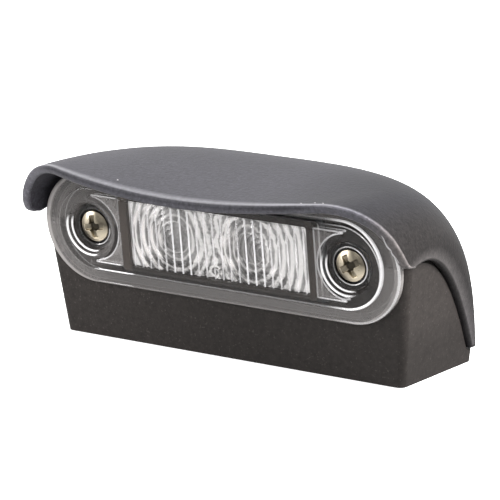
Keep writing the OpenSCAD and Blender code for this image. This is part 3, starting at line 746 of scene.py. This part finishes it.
class RuleTree:
    """A geometry node tree with named inputs, run once on a mesh and then taken off again."""

    def __init__(self, name):
        self.tree = bpy.data.node_groups.new(name, "GeometryNodeTree")
        self.net = Net(self.tree)
        for way in ("OUTPUT", "INPUT"):
            self.tree.interface.new_socket("Geometry", in_out=way, socket_type="NodeSocketGeometry")
        self.given = {}
        self.source = self.net.add("NodeGroupInput")

    def value(self, name, amount, kind="NodeSocketFloat"):
        self.tree.interface.new_socket(name, in_out="INPUT", socket_type=kind)
        self.given[name] = amount
        return self.source.out(name)

    def run(self, obj, geometry):
        """Ends the tree with real geometry in its material and replaces the mesh by the result."""
        material = self.value("Material", obj.data.materials[0], "NodeSocketMaterial")
        real = self.net.add("GeometryNodeRealizeInstances", inputs={0: geometry})
        rounded = self.net.add("GeometryNodeSetShadeSmooth", inputs={0: real.out()})
        painted = self.net.add("GeometryNodeSetMaterial", inputs={
            "Geometry": rounded.out(), "Material": material})
        self.net.add("NodeGroupOutput", inputs={0: painted.out()})
        modifier = obj.modifiers.new(self.tree.name, "NODES")
        modifier.node_group = self.tree
        for item in self.tree.interface.items_tree:
            if item.in_out == "INPUT" and item.name in self.given:
                modifier[item.identifier] = self.given[item.name]
        obj.update_tag()
        depsgraph = bpy.context.evaluated_depsgraph_get()
        mesh = bpy.data.meshes.new_from_object(obj.evaluated_get(depsgraph))
        obj.modifiers.remove(modifier)
        obj.data = mesh
        if len(mesh.polygons) == 0:
            raise RuntimeError(f"{obj.name} came out empty")
        return obj


def bead(name, loops, material, radius, swell):
    """Rounded edge along closed paths, thicker by the share swell at the right-hand end, where the painted
    edge highlights are wider.
    """
    rule = RuleTree(name)
    net = rule.net
    thin = rule.value("Radius", radius)
    more = rule.value("Swell", swell)
    reach = rule.value("Reach", BEAD_REACH)
    sides = rule.value("Sides", BEAD_SIDES, "NodeSocketInt")
    curve = net.add("GeometryNodeMeshToCurve", inputs={0: rule.source.out("Geometry")})
    across = net.split(net.add("GeometryNodeInputPosition").out())[0]
    size = thin * (1.0 + more * (across / reach).at_least(0.0) ** 3.0)
    profile = net.add("GeometryNodeCurvePrimitiveCircle", inputs={"Resolution": sides, "Radius": 1.0})
    sized = net.add("GeometryNodeSetCurveRadius", inputs={"Curve": curve.out(), "Radius": size})
    tube = net.add("GeometryNodeCurveToMesh", inputs={
        "Curve": sized.out(), "Profile Curve": profile.out(), "Scale": size})
    return rule.run(path_object(name, loops, material), tube.out())


def stadium(pitch, radius, out):
    """Outline of two half circles that are joined by straight sides."""
    angles = [math.radians(90 - 180 * k / STADIUM_ARC_STEPS) for k in range(STADIUM_ARC_STEPS + 1)]
    right = [(pitch / 2 + radius * math.cos(a), radius * math.sin(a)) for a in angles]
    shares = [k / STADIUM_SIDE_STEPS for k in range(1, STADIUM_SIDE_STEPS)]
    half = right + [(pitch / 2 - pitch * share, -radius) for share in shares]
    return [on_lens(x, y, out) for x, y in half + [(-x, -y) for x, y in half]]


def circles(pitch, radius, out):
    """A circle round each of the two screws."""
    angles = [2 * math.pi * k / CIRCLE_STEPS for k in range(CIRCLE_STEPS)]
    around = [(radius * math.cos(a), radius * math.sin(a)) for a in angles]
    return [[on_lens(side * pitch / 2 + x, y, out) for x, y in around] for side in (-1, 1)]


class HoodSheet:
    """The hood's sheet as a function of the arch position q and the way back t."""

    # Half the plinth's width at its foot, the slope of its sides and half the screws' distance
    BASE_HALF = 0.0397
    DRAFT = math.tan(math.radians(7.1))
    HALF_SCREWS = SCREW_PITCH / 2
    # The hood stands this far off the plinth's sides in front and at the back
    OFF_FRONT = 0.002
    OFF_BACK = 0.0008
    # Squareness of the arch in front and at the back
    SQUARE_FRONT = 2.6
    SQUARE_BACK = 6.0
    # The visor is flat up to this arch position and round beyond it, which fades on the way back
    SHOULDER_START = 0.5
    SHOULDER_FADE = 6
    DIP_FADE = 5
    # The front corners are cut back from this arch position on, by this share of the way back
    CORNER_START = 0.86
    CORNER_WAY = 0.2
    # The back's lower edge: its height, and its distance behind the plinth in the middle
    BACK_Z = 0.0037
    BACK_GAP = 0.0005
    # The crown leaves the visor along this slope and length, and reaches the back from this far up
    CROWN_PULL = 0.055
    CROWN_SLOPE = math.radians(6.6)
    CROWN_UP = 0.026
    # Steps back and up from the front corner to the two points that pull the side's lower edge,
    # and how far inside the plinth's rear the edge ends
    EDGE_FIRST = (0.0048, -0.0005)
    EDGE_SECOND = (0.0139, 0.0094)
    EDGE_END_INSIDE = 0.0019

    def __init__(self, s):
        self.s = s
        self.rim = (FRONT_Y - s.visor_reach, LENS_Z + s.shoulder_radius)
        self.back = (REAR_Y + self.BACK_GAP, self.BACK_Z)
        corner = np.array([FRONT_Y - s.cusp_reach, s.cusp_height])
        end = np.array([REAR_Y - self.EDGE_END_INSIDE, self.BACK_Z])
        self.edge = [corner, corner + self.EDGE_FIRST, corner + self.EDGE_SECOND, end]

    def crown(self, t, inset):
        """Middle line from the visor's rim to the foot of the back, as places back and up."""
        y, z = self.rim
        back, foot = self.back
        ahead = self.CROWN_PULL * math.cos(self.CROWN_SLOPE)
        rise = self.CROWN_PULL * math.sin(self.CROWN_SLOPE)
        return bezier([(y, z - inset), (y + ahead - inset / 2, z + rise - inset),
                       (back - inset, foot + self.CROWN_UP - inset / 2), (back - inset, foot)], t)

    def sheet(self, q, t, inset):
        s = self.s
        aq = np.abs(q)
        e, c = bezier(self.edge, t), self.crown(t, inset)
        off = self.OFF_FRONT + (self.OFF_BACK - self.OFF_FRONT) * t
        w = self.BASE_HALF + off + self.DRAFT * e[..., 1] - inset
        n = self.SQUARE_FRONT + (self.SQUARE_BACK - self.SQUARE_FRONT) * t * t
        turn = aq * math.pi / 2
        sx, sz = np.sin(turn) ** (2 / n), np.cos(turn).clip(0) ** (2 / n)
        start, half = self.SHOULDER_START, self.HALF_SCREWS
        turn = ((aq - start) / (1 - start)).clip(0, 1) * math.pi / 2
        ax = np.where(aq < start, half * aq / start, half + (w - half) * np.sin(turn)) / w
        az = np.where(aq < start, 1.0, np.cos(turn))
        k = (1 - t) ** self.SHOULDER_FADE
        sx, sz = sx + (ax - sx) * k, sz + (az - sz) * k
        plan = (1 - t) * (1 - sx.clip(0, 1) ** s.bow) + t * sz
        dip = s.dip * (1 - t) ** self.DIP_FADE * np.cos(sx.clip(0, 1) * math.pi / 2) ** 2
        return np.stack([np.sign(q) * w * sx,
                         e[..., 0] + (c[..., 0] - e[..., 0]) * plan,
                         e[..., 1] + (c[..., 1] - e[..., 1]) * sz - dip], -1)

    def point(self, q, t, inset):
        """Point of the sheet, or of its parallel at this depth inside, behind the cut corners."""
        q, t = np.broadcast_arrays(np.asarray(q, float), np.asarray(t, float))
        cut = ((np.abs(q) - self.CORNER_START) / (1 - self.CORNER_START)).clip(0, 1)
        start = self.CORNER_WAY * (1 - np.sqrt(1 - cut * cut))
        return self.sheet(q, start + (1 - start) * t, inset)


class HoodShell:
    """The hood's sheet as a closed mesh: loops round its wall, row by row, with rounded lips."""

    def __init__(self, sheet):
        self.sheet = sheet
        self.wall = sheet.s.wall
        self.lip = self.wall / 2
        u = np.linspace(-1, 1, HOOD_ARCH_STEPS + 1)
        self.q = np.sign(u) * (1 - (1 - np.abs(u)) ** ARCH_CROWDING)
        self.rows = np.linspace(0, 1, HOOD_ROWS + 1) ** ROW_CROWDING
        self.lip_angles = np.radians(np.linspace(0, 180, LIP_STEPS + 1)[1:-1])
        self.cap_angles = np.radians(CAP_ANGLES)

    def side_part(self, a):
        return math.copysign(abs(math.cos(a)) ** (2 / LIP_SQUARENESS), math.cos(a))

    def end_part(self, a):
        return abs(math.sin(a)) ** (2 / LIP_SQUARENESS)

    def loop(self, t):
        """Once round the wall: over the outside, the right lip, the inside and the left lip."""
        point, wall = self.sheet.point, self.wall
        lips = []
        for end, angles in ((1.0, self.lip_angles), (-1.0, self.lip_angles[::-1])):
            outer, inner = point(end, t, 0), point(end, t, wall)
            down = unit(point(end, t, self.lip) - point(end * SIDE_PROBE, t, self.lip))
            lips.append(np.array([(outer + inner) / 2 + (outer - inner) / 2 * self.side_part(a)
                                  + down * self.lip * self.end_part(a) for a in angles]))
        return np.concatenate([point(self.q, t, 0), lips[0], point(self.q, t, wall)[::-1], lips[1]])

    def middles(self, t):
        """The middle of the wall beside each point of the loop."""
        m = self.sheet.point(self.q, t, self.lip)
        count = len(self.lip_angles)
        return np.concatenate([m, np.repeat(m[-1:], count, 0), m[::-1], np.repeat(m[:1], count, 0)])

    def caps(self, t, step, angles):
        """Loops that close the wall at its front or its back in a rounded lip."""
        middles, loop = self.middles(t), self.loop(t)
        out = unit(middles - self.middles(t + step))
        return [middles + (loop - middles) * self.side_part(a) + out * self.lip * self.end_part(a)
                for a in angles]

    def painted_lip_light(self, rings):
        """Painted highlight and painted shade of each point as a part of the lips."""
        front, q, lip = len(self.cap_angles), len(self.q), len(self.lip_angles)
        rows = slice(front, front + len(self.rows))
        rim = np.zeros((len(rings), len(rings[0])))
        rim[:front] = np.cos(self.cap_angles[::-1] * RIM_TURN).clip(RIM_DARKEST, 1.0)[:, None]
        rim[:front, q + lip:-lip] = LIP_UNDERSIDE
        across = np.array(rings[:front])[..., 0]
        for share, span in LIP_ENDS:
            rim[:front] = np.maximum(rim[:front], share * eased(*span, across))
        outer = np.array(rings[rows])[:, :q]
        left, right = (np.linalg.norm(outer - outer[:, [end]], axis=-1) for end in (0, -1))
        beside = SIDE_RIM * (1.0 - np.minimum(left, right) / SIDE_FADE).clip(0.0)
        rim[rows, :q] = beside + (1.0 - self.rows / RIM_FADE).clip(0.0)[:, None]
        return rim.clip(None, 1.0).ravel()

    def solid(self):
        """Points, faces and painted lip light of the closed hood."""
        rings = [*self.caps(0.0, WAY_PROBE, self.cap_angles[::-1]), *(self.loop(t) for t in self.rows),
                 *self.caps(1.0, -WAY_PROBE, self.cap_angles)]
        n, last = len(rings[0]), len(rings) - 1
        faces = [face for r in range(last) for face in band(r * n, (r + 1) * n, n)]
        k = len(self.q) - 1

        def across(i):
            return 2 * k + 1 + len(self.lip_angles) - i

        for base, turn in ((0, 1), (last * n, -1)):
            ends = [(i, i + 1, across(i + 1), across(i)) for i in range(k)]
            ends += [tuple(range(k, across(k) + 1)), (*range(across(0), n), 0)]
            faces += [tuple(base + j for j in face[::turn]) for face in ends]
        return np.concatenate(rings), faces, self.painted_lip_light(rings)


def length(name, description, default):
    return bpy.props.FloatProperty(name=name, description=description, default=default, min=0.0,
                                   precision=5, subtype="DISTANCE", unit="LENGTH")


def colour(name, description, default):
    return bpy.props.FloatVectorProperty(name=name, description=description, default=default, size=3,
                                         min=0.0, max=1.0, subtype="COLOR")


class HoodSizes(bpy.types.PropertyGroup):
    wall: length("Wall", "Thickness of the hood's wall", 0.0018)
    visor_reach: length("Visor reach", "Reach of the visor's middle in front of the plinth", 0.0174)
    shoulder_radius: length("Shoulder radius", "Radius of the visor round the lens ends", 0.01445)
    cusp_reach: length("Corner reach", "Reach of the hood's front corners", 0.0074)
    cusp_height: length("Corner height", "Height of the hood's front corners", 0.0245)
    dip: length("Dip", "Dip of the visor's front edge at its middle", 0.0027)
    bow: bpy.props.FloatProperty(
        name="Bow", description="Straightness of the visor's middle in plan", default=3.4, min=1.0, max=8.0)


class LensSizes(bpy.types.PropertyGroup):
    window_width: length("Window width", "Width of the fluted window", 0.0422)
    window_height: length("Window height", "Height of the fluted window", 0.0135)
    screw_pitch: length("Screw pitch", "Distance between the two screws", SCREW_PITCH)
    flange_radius: length("Flange radius", "Radius of the flange's round ends", 0.0115)
    flange_height: length("Flange height", "Height of the flange over the plinth's face", 0.0013)
    terrace_radius: length("Terrace radius", "Radius of the raised terrace's round ends", 0.0086)
    terrace_inset: length("Terrace inset", "Distance of the terrace's ends inside the screws", 0.0008)
    terrace_height: length("Terrace height", "Height of the terrace over the plinth's face", 0.0021)
    # The glint is a painted highlight line, drawn as a glowing bead
    glint_radius: length("Glint radius", "Radius of the bright line inside the terrace's ends", 0.0088)
    glint_inset: length("Glint inset", "Distance of the bright line's ends inside the screws", 0.0017)
    glint_height: length("Glint height", "Height of the bright line over the plinth's face", 0.0005)
    pad_side: length("Pad side", "Distance of the pads' straight side from the middle", 0.0229)
    pad_arc: length("Pad arc", "Radius of the pads' hollow side about each screw", 0.0067)
    pad_half: length("Pad half height", "Half the height of the pads", 0.0069)
    pad_height: length("Pad height", "Height of the pads over the plinth's face", 0.0014)
    well_radius: length("Well radius", "Radius of the screw wells at the front", 0.00545)
    well_foot: length("Well foot", "Radius of the screw wells at their foot", 0.0048)
    recess_radius: length("Recess radius", "Radius of the recess round each screw head", 0.00375)
    flutes: bpy.props.IntProperty(
        name="Flutes", description="Number of flutes across the window", default=22, min=4, max=60)


class ScrewSizes(bpy.types.PropertyGroup):
    head_radius: length("Head radius", "Radius of the screw head", 0.0032)
    head_height: length("Head height", "Height of the screw head over its seat", 0.0017)
    head_round: length("Head rounding", "Rounding of the head's rim", 0.0003)
    dome_radius: length("Dome radius", "Radius of the head's domed top", 0.0058)
    sink: length("Sink", "Depth of the screw's seat below the plinth's face", 0.0005)
    shank_radius: length("Shank radius", "Radius of the shank", 0.0017)
    shank_length: length("Shank length", "Length of the screw below its head", 0.0083)
    recess_depth: length("Recess depth", "Depth of the cross recess", 0.0011)
    wing_reach: length("Wing reach", "Reach of the recess's four wings", 0.0024)
    wing_half: length("Wing half width", "Half the width of each wing", 0.00048)
    core_radius: length("Core radius", "Radius of the recess's round core", 0.00095)
    wall_run: length("Wall run", "Distance over which the recess's walls fall", 0.00022)


class Finish(bpy.types.PropertyGroup):
    hood: colour("Hood", "Colour of the hood", (0.037, 0.0358, 0.0425))
    # A warmer tint of painted shade for the hood's right-hand side
    hood_shade_tint: colour("Hood side", "Warmer colour of the hood's right-hand side", (0.0425, 0.0375, 0.0365))
    plinth: colour("Plinth", "Colour of the plinth", (0.039, 0.0335, 0.031))
    haze: colour("Lens haze", "Tint of the clear plastic", (0.38, 0.355, 0.345))
    # The optic's tones are painted reflection and glow
    optic: colour("Optic", "Brightest tone of the ring optic", (0.9, 0.88, 0.87))
    mask: colour("Mask", "Colour of the frame round the window", (0.024, 0.019, 0.016))
    # Tint of the painted edge highlights
    edge: colour("Edges", "Tint of the clear plastic's bright edges", (0.9, 0.89, 0.9))
    screw: colour("Screw", "Colour of the screws", (0.34, 0.3, 0.23))


class PLATELAMP_OT_hood(bpy.types.Operator):
    """Builds the thin hood with its visor and rounded lips"""
    bl_idname = "plate_lamp.hood"
    bl_label = "Hood"

    def execute(self, context):
        scene = context.scene
        sheet = HoodSheet(scene.lamp_hood)
        points, faces, rim = HoodShell(sheet).solid()
        obj = mesh_object("hood_shell", points, faces, hood_material(scene.lamp_finish))
        give(obj, PAINTED_LIP_LIGHT_ATTRIBUTE, rim)
        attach(obj, "root")
        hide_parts("hood")
        scuffed = plain_material("scuffed_hood", SCUFFED, SCUFFED_ROUGHNESS)
        for wear in (self.scuffs(sheet, scuffed), self.burr(sheet, scuffed)):
            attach(wear, "root")
        return {"FINISHED"}

    def scuffs(self, sheet, material):
        """Small pale chips along the visor's upper edge."""
        there = [sheet.point(q, t, 0.0) for q, t in SCUFFS]
        rule = RuleTree("Scuffs")
        radius = rule.value("Radius", SCUFF_RADIUS)
        chip = rule.net.add("GeometryNodeMeshIcoSphere", inputs={"Radius": radius, "Subdivisions": 3})
        chips = rule.net.add("GeometryNodeInstanceOnPoints", inputs={
            "Points": rule.source.out("Geometry"), "Instance": chip.out(), "Scale": SCUFF_SHAPE})
        return rule.run(path_object("hood_scuffs", [there], material, joined=False), chips.out())

    def burr(self, sheet, material):
        """Thin moulding flash along the lip at the right-hand corner."""
        lip = sheet.s.wall / 2
        there = []
        for k, wave in enumerate(BURR_WAVE):
            q = BURR_START + (BURR_END - BURR_START) * k / (len(BURR_WAVE) - 1)
            middle, behind = sheet.point(q, 0.0, lip), sheet.point(q, WAY_PROBE, lip)
            inner = sheet.point(q, 0.0, sheet.s.wall) - middle
            there.append(middle + unit(middle - behind) * lip * BURR_REST + inner * wave)
        there = [Vector(point) for point in there]
        back = [point + BURR_WIDTH * LENS_UP for point in there[-2:0:-1]]
        return bead("hood_burr", [there + back], material, radius=0.00013, swell=0.0)


class PLATELAMP_OT_plinth(bpy.types.Operator):
    """Gives the plinth its grained finish and dresses the floor plate and the grommet"""
    bl_idname = "plate_lamp.plinth"
    bl_label = "Plinth"

    def execute(self, context):
        dress("base_housing", plinth_material(context.scene.lamp_finish))
        dress_plain(PLINTH_PLAIN)
        return {"FINISHED"}


class PLATELAMP_OT_lens(bpy.types.Operator):
    """Gives the lens cover its clear finish, bright edges with painted highlights and hazy pads"""
    bl_idname = "plate_lamp.lens"
    bl_label = "Lens cover"

    def execute(self, context):
        finish, lens = context.scene.lamp_finish, context.scene.lamp_lens
        dress("lens_cover", clear_material(finish, lens))
        dress_plain(LENS_PLAIN)
        haze = hazy_material("pad_haze", finish.haze, share=0.24)
        for obj in (*self.beads(lens, finish.edge), self.pads(lens, haze)):
            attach(obj, "root")
        return {"FINISHED"}

    def beads(self, lens, tint):
        """Bright rounded edges of the flange, the terrace, the wells and the pads: glowing beads with
        painted highlights.
        """
        bright = edge_highlight_material("edge_highlight_bright", tint, low=0.08, high=1.0)
        faint = edge_highlight_material("edge_highlight_faint", tint, low=0.1, high=0.4, pads=lens)
        dim = edge_highlight_material("edge_highlight_dim", tint, low=0.03, high=0.35)
        even = edge_highlight_material("edge_highlight_even", tint, low=0.24, high=0.45, pads=lens)
        lit_side = edge_highlight_material("edge_highlight_lit_side", tint, low=0.0, high=1.0, lens=lens)
        pitch, flange, terrace = lens.screw_pitch, lens.flange_height, lens.terrace_height
        glint = stadium(pitch - 2 * lens.glint_inset, lens.glint_radius, lens.glint_height)
        outer = stadium(pitch, lens.flange_radius - FLANGE_BEAD_INSIDE, flange - FLANGE_BEAD_SUNK)
        upper = stadium(pitch - 2 * lens.terrace_inset, lens.terrace_radius - TERRACE_BEAD_INSIDE,
                        terrace - TERRACE_BEAD_SUNK)
        rims = circles(pitch, lens.well_radius, terrace - WELL_BEAD_SUNK)
        feet = circles(pitch, lens.well_foot, flange)
        recesses = circles(pitch, lens.recess_radius, RECESS_BEAD_HEIGHT)
        return [
            bead("terrace_foot_glint", [glint], bright, radius=0.00012, swell=2.3),
            bead("flange_edge_highlight", [outer], dim, radius=0.00014, swell=1.0),
            bead("terrace_edge_highlight", [upper], dim, radius=0.0001, swell=0.4),
            bead("well_rim_highlights", rims, lit_side, radius=0.00022, swell=0.0),
            bead("well_foot_highlights", feet, lit_side, radius=0.0002, swell=0.0),
            bead("recess_rim_highlights", recesses, dim, radius=0.00012, swell=0.0),
            bead("pad_edge_highlights", self.pad_outlines(lens, lens.pad_height), even, radius=0.00016, swell=0.3),
            bead("pad_foot_highlights", self.pad_outlines(lens, PAD_FOOT_HEIGHT), faint, radius=0.0001, swell=0.3),
        ]

    def pads(self, lens, material):
        """Thin hazy sheets inside the pads' outlines, of which the left one runs the other way."""
        points, faces = [], []
        lower = self.pad_outlines(lens, lens.pad_height - PAD_SHEET)
        upper = self.pad_outlines(lens, lens.pad_height)
        for low, high, way in zip(lower, upper, (-1, 1)):
            first, n = len(points), len(low)
            points += low[::way] + high[::way]
            faces += [tuple(range(first + n, first + 2 * n)), tuple(range(first + n - 1, first - 1, -1))]
            faces += band(first + n, first, n)
        return mesh_object("pad_sheets", points, faces, material, rounded=False)

    def pad_outlines(self, lens, out):
        """Outlines of the pads at the window's ends: straight beside it, hollow round the screw."""
        half, arc, top, side = lens.screw_pitch / 2, lens.pad_arc, lens.pad_half, lens.pad_side
        tip = math.asin(PAD_TIP_SHARE)
        bow = [tip + (math.pi - 2 * tip) * k / PAD_ARC_STEPS for k in range(PAD_ARC_STEPS + 1)]
        hollow = [(half - arc * math.sin(a), arc * math.cos(a)) for a in bow]
        corners = [(hollow[-1][0], -top), (side, -top), (side, top), (hollow[0][0], top)]
        path = [*hollow, *corners, hollow[0]]
        loop = []
        for (x, y), end in zip(path, path[1:]):
            steps = max(1, round(math.dist((x, y), end) / PAD_STEP))
            loop += [(x + (end[0] - x) * k / steps, y + (end[1] - y) * k / steps) for k in range(steps)]
        return [[on_lens(way * x, y, out) for x, y in loop] for way in (-1, 1)]


class PLATELAMP_OT_module(bpy.types.Operator):
    """Builds the flutes' ridges with painted highlights and dresses the light module: optic with painted
    reflection and glow, frame with painted light in its bars, board and driver
    """
    bl_idname = "plate_lamp.module"
    bl_label = "Light module"

    def execute(self, context):
        finish, lens = context.scene.lamp_finish, context.scene.lamp_lens
        dress("ring_optic", optic_material(finish, lens))
        dress("mask_frame", mask_material(finish, lens))
        dress_plain(MODULE_PLAIN)
        flutes = self.flutes(lens, ridge_highlight_material(finish))
        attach(flutes, "root")
        return {"FINISHED"}

    def flutes(self, lens, material):
        """Ridges between the flutes, side by side behind the window."""
        rule = RuleTree("Flutes")
        net = rule.net
        count = rule.value("Count", lens.flutes, "NodeSocketInt")
        width = rule.value("Width", lens.window_width)
        radius = rule.value("Ridge radius", RIDGE_RADIUS)
        height = rule.value("Ridge height", lens.window_height - RIDGE_SHORTER)
        pitch = width / count
        middle = on_lens(0.0, 0.0, lens.flange_height + RIDGE_CLEARANCE)
        start = net.add("ShaderNodeCombineXYZ", inputs={
            0: RIDGE_PHASE * pitch - 0.5 * width, 1: middle.y, 2: middle.z})
        step = net.add("ShaderNodeCombineXYZ", inputs={0: pitch})
        line = net.add("GeometryNodeMeshLine", {"mode": "OFFSET"}, {
            "Count": count, "Start Location": start.out(), "Offset": step.out()})
        ridge = net.add("GeometryNodeMeshCylinder", inputs={
            "Vertices": RIDGE_SIDES, "Radius": radius, "Depth": height})
        copies = net.add("GeometryNodeInstanceOnPoints", inputs={
            "Points": line.out(), "Instance": ridge.out(), "Rotation": (FACE_LEAN, 0.0, 0.0)})
        return rule.run(path_object("flute_ridge_highlights", [], material), copies.out())


class PLATELAMP_OT_screws(bpy.types.Operator):
    """Builds the module screws with their cross recesses and dresses their inserts"""
    bl_idname = "plate_lamp.screws"
    bl_label = "Screws"

    def execute(self, context):
        scene = context.scene
        s, lens = scene.lamp_screw, scene.lamp_lens
        nickel = screw_material(scene.lamp_finish, lens)
        for node, side, turned in (("screw_left", -1, TURNED_LEFT), ("screw_right", 1, TURNED_RIGHT)):
            points, faces = self.screw(s, math.radians(turned))
            middle = side * lens.screw_pitch / 2
            placed = [on_lens(middle + x, y, z) for x, y, z in points]
            obj = mesh_object(node + "_turned", placed, faces, nickel)
            give(obj, SUNK_SHADE_ATTRIBUTE, self.sunk_share(s, points))
            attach(obj, "root")
            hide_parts(node)
        dress_plain(INSERT_PLAIN)
        return {"FINISHED"}

    def screw(self, s, turned):
        """Rings from the top of the head over its rim and down the shank to the tip."""
        n = SCREW_SEGMENTS
        angles = np.linspace(0, 2 * math.pi, n, endpoint=False)
        top_radius = s.head_radius - s.head_round
        rings = []
        for r in np.linspace(0, 1, SCREW_RINGS)[1:] * top_radius:
            x, y = r * np.cos(angles), r * np.sin(angles)
            rings.append((x, y, self.top(s, x, y, turned)))
        edge = self.dome(s, top_radius)
        rim = [(top_radius + s.head_round * math.sin(a), edge - s.head_round * (1 - math.cos(a)))
               for a in np.radians(HEAD_RIM_ANGLES)]
        tip = -s.sink - s.shank_length
        for r, z in (*rim, (s.head_radius, -s.sink), (s.shank_radius, -s.sink),
                     (s.shank_radius, tip + s.shank_radius), (s.shank_radius / 2, tip)):
            rings.append((r * np.cos(angles), r * np.sin(angles), np.full(n, z)))
        points = [(0.0, 0.0, float(self.top(s, np.zeros(1), np.zeros(1), turned)[0]))]
        for ring in rings:
            points += list(zip(*ring))
        points.append((0.0, 0.0, tip))
        faces = [(0, 1 + i, 1 + (i + 1) % n) for i in range(n)]
        for k in range(len(rings) - 1):
            faces += band(1 + k * n, 1 + (k + 1) * n, n)
        lowest, last = 1 + (len(rings) - 1) * n, len(points) - 1
        faces += [(lowest + (i + 1) % n, lowest + i, last) for i in range(n)]
        return points, faces

    def sunk_share(self, s, points):
        """How far each point of the head's top lies below the dome, as a share of the recess."""
        x, y, z = np.array(points).T
        r = np.hypot(x, y).clip(0, s.head_radius)
        below = (self.dome(s, r) - z) / s.recess_depth
        return np.where((z > 0) & (r < s.wing_reach), below, 0.0).clip(0, 1)

    def dome(self, s, r):
        """Height of the head's dome at this distance from its axis."""
        return s.head_height - s.sink - s.dome_radius + np.sqrt(s.dome_radius ** 2 - r * r)

    def top(self, s, x, y, turned):
        """Height of the head's domed top, sunk in the four wings and the core of the recess."""
        a = np.abs(x * math.cos(turned) + y * math.sin(turned))
        b = np.abs(y * math.cos(turned) - x * math.sin(turned))
        aside, outward = np.minimum(a, b), np.maximum(a, b)
        r = np.hypot(x, y)
        wing = eased(s.wing_half + s.wall_run, s.wing_half, aside)
        wing = wing * eased(s.wing_reach, s.wing_reach * WING_END, outward)
        core = eased(s.core_radius + s.wall_run, s.core_radius, r)
        depth = s.recess_depth * np.maximum(wing * (1.0 - WING_RISE * outward / s.wing_reach), core)
        return self.dome(s, r) - depth


class PLATELAMP_OT_stage(bpy.types.Operator):
    """Sets up the camera, the white studio and its lamps"""
    bl_idname = "plate_lamp.stage"
    bl_label = "Studio"

    def execute(self, context):
        scene = context.scene
        self.build_camera(scene)
        for name, where, aim, width, height, power in LAMPS:
            light = bpy.data.lights.new(name, "AREA")
            light.shape = "RECTANGLE"
            light.size, light.size_y, light.energy = width, height, power
            lamp = new_object(name, light)
            lamp.location = where
            lamp.visible_glossy = name not in HIDDEN_IN_MIRRORS
            lamp.rotation_euler = (Vector(aim) - Vector(where)).to_track_quat("-Z", "Y").to_euler()
        self.build_world(scene)
        self.build_floor()
        scene.view_settings.view_transform = "Standard"
        return {"FINISHED"}

    def build_camera(self, scene):
        level = math.cos(CAMERA_RISE)
        back = Vector((math.sin(CAMERA_YAW) * level, -math.cos(CAMERA_YAW) * level,
                       math.sin(CAMERA_RISE)))
        data = bpy.data.cameras.new("camera")
        data.lens = CAMERA_LENS
        data.sensor_width = CAMERA_SENSOR
        data.clip_start, data.clip_end = CAMERA_CLIP
        camera = new_object("camera", data)
        camera.location = CAMERA_AIM + back * CAMERA_DISTANCE
        camera.rotation_euler = (-back).to_track_quat("-Z", "Y").to_euler()
        scene.camera = camera

    def build_world(self, scene):
        """White all round, darker as a light than as a background."""
        world = bpy.data.worlds.new("studio")
        world.use_nodes = True
        world.node_tree.nodes.clear()
        net = Net(world.node_tree)
        shades = [net.add("ShaderNodeBackground", inputs={"Color": (1, 1, 1, 1), "Strength": strength})
                  for strength in (1.0, SKY_MIRRORED, SKY_DIFFUSE)]
        net.add("ShaderNodeOutputWorld", inputs={"Surface": net.by_ray(*shades).out()})
        scene.world = world

    def build_floor(self):
        """White floor: bright for the camera, steady in mirrors and greyer as a light."""
        material, net = new_material("floor_white")
        plain, bright = (net.add("ShaderNodeBsdfDiffuse", inputs={"Color": (white, white, white, 1.0)})
                         for white in (FLOOR_DIFFUSE, FLOOR_SEEN))
        sheen, glow = (net.add("ShaderNodeEmission", inputs={"Color": (1, 1, 1, 1), "Strength": strength})
                       for strength in (FLOOR_MIRRORED, FLOOR_GLOW))
        seen = net.add("ShaderNodeAddShader", inputs={0: bright.out(), 1: glow.out()})
        mesh = bpy.data.meshes.new("floor")
        sides = ((-1, -1), (1, -1), (1, 1), (-1, 1))
        corners = [(x * FLOOR_HALF, y * FLOOR_HALF, FLOOR_Z) for x, y in sides]
        mesh.from_pydata(corners, [], [(0, 1, 2, 3)])
        mesh.materials.append(finished(material, net, net.by_ray(seen, sheen, plain)))
        floor = new_object("floor", mesh)


class PLATELAMP_PT_panel(bpy.types.Panel):
    """Lists the lamp's pieces, sizes and colours"""
    bl_label = "Plate Lamp"
    bl_idname = "PLATELAMP_PT_panel"
    bl_space_type = "VIEW_3D"
    bl_region_type = "UI"
    bl_category = "Plate Lamp"

    def draw(self, context):
        scene = context.scene
        for group in (getattr(scene, name) for name, _ in GROUPS):
            box = self.layout.box()
            for name in group.bl_rna.properties.keys():
                if name not in ("rna_type", "name"):
                    box.prop(group, name)
        for operator in OPERATORS:
            self.layout.operator(operator.bl_idname)


GROUPS = (("lamp_hood", HoodSizes), ("lamp_lens", LensSizes), ("lamp_screw", ScrewSizes),
          ("lamp_finish", Finish))
OPERATORS = (PLATELAMP_OT_hood, PLATELAMP_OT_plinth, PLATELAMP_OT_lens, PLATELAMP_OT_module,
             PLATELAMP_OT_screws, PLATELAMP_OT_stage)


def register():
    for name, group in GROUPS:
        bpy.utils.register_class(group)
        setattr(bpy.types.Scene, name, bpy.props.PointerProperty(type=group))
    for cls in (*OPERATORS, PLATELAMP_PT_panel):
        bpy.utils.register_class(cls)


def unregister():
    for cls in (PLATELAMP_PT_panel, *reversed(OPERATORS)):
        bpy.utils.unregister_class(cls)
    for name, group in reversed(GROUPS):
        delattr(bpy.types.Scene, name)
        bpy.utils.unregister_class(group)


def main():
    register()
    bpy.ops.plate_lamp.hood()
    bpy.ops.plate_lamp.plinth()
    bpy.ops.plate_lamp.lens()
    bpy.ops.plate_lamp.module()
    bpy.ops.plate_lamp.screws()
    bpy.ops.plate_lamp.stage()


if __name__ == "__main__":
    main()
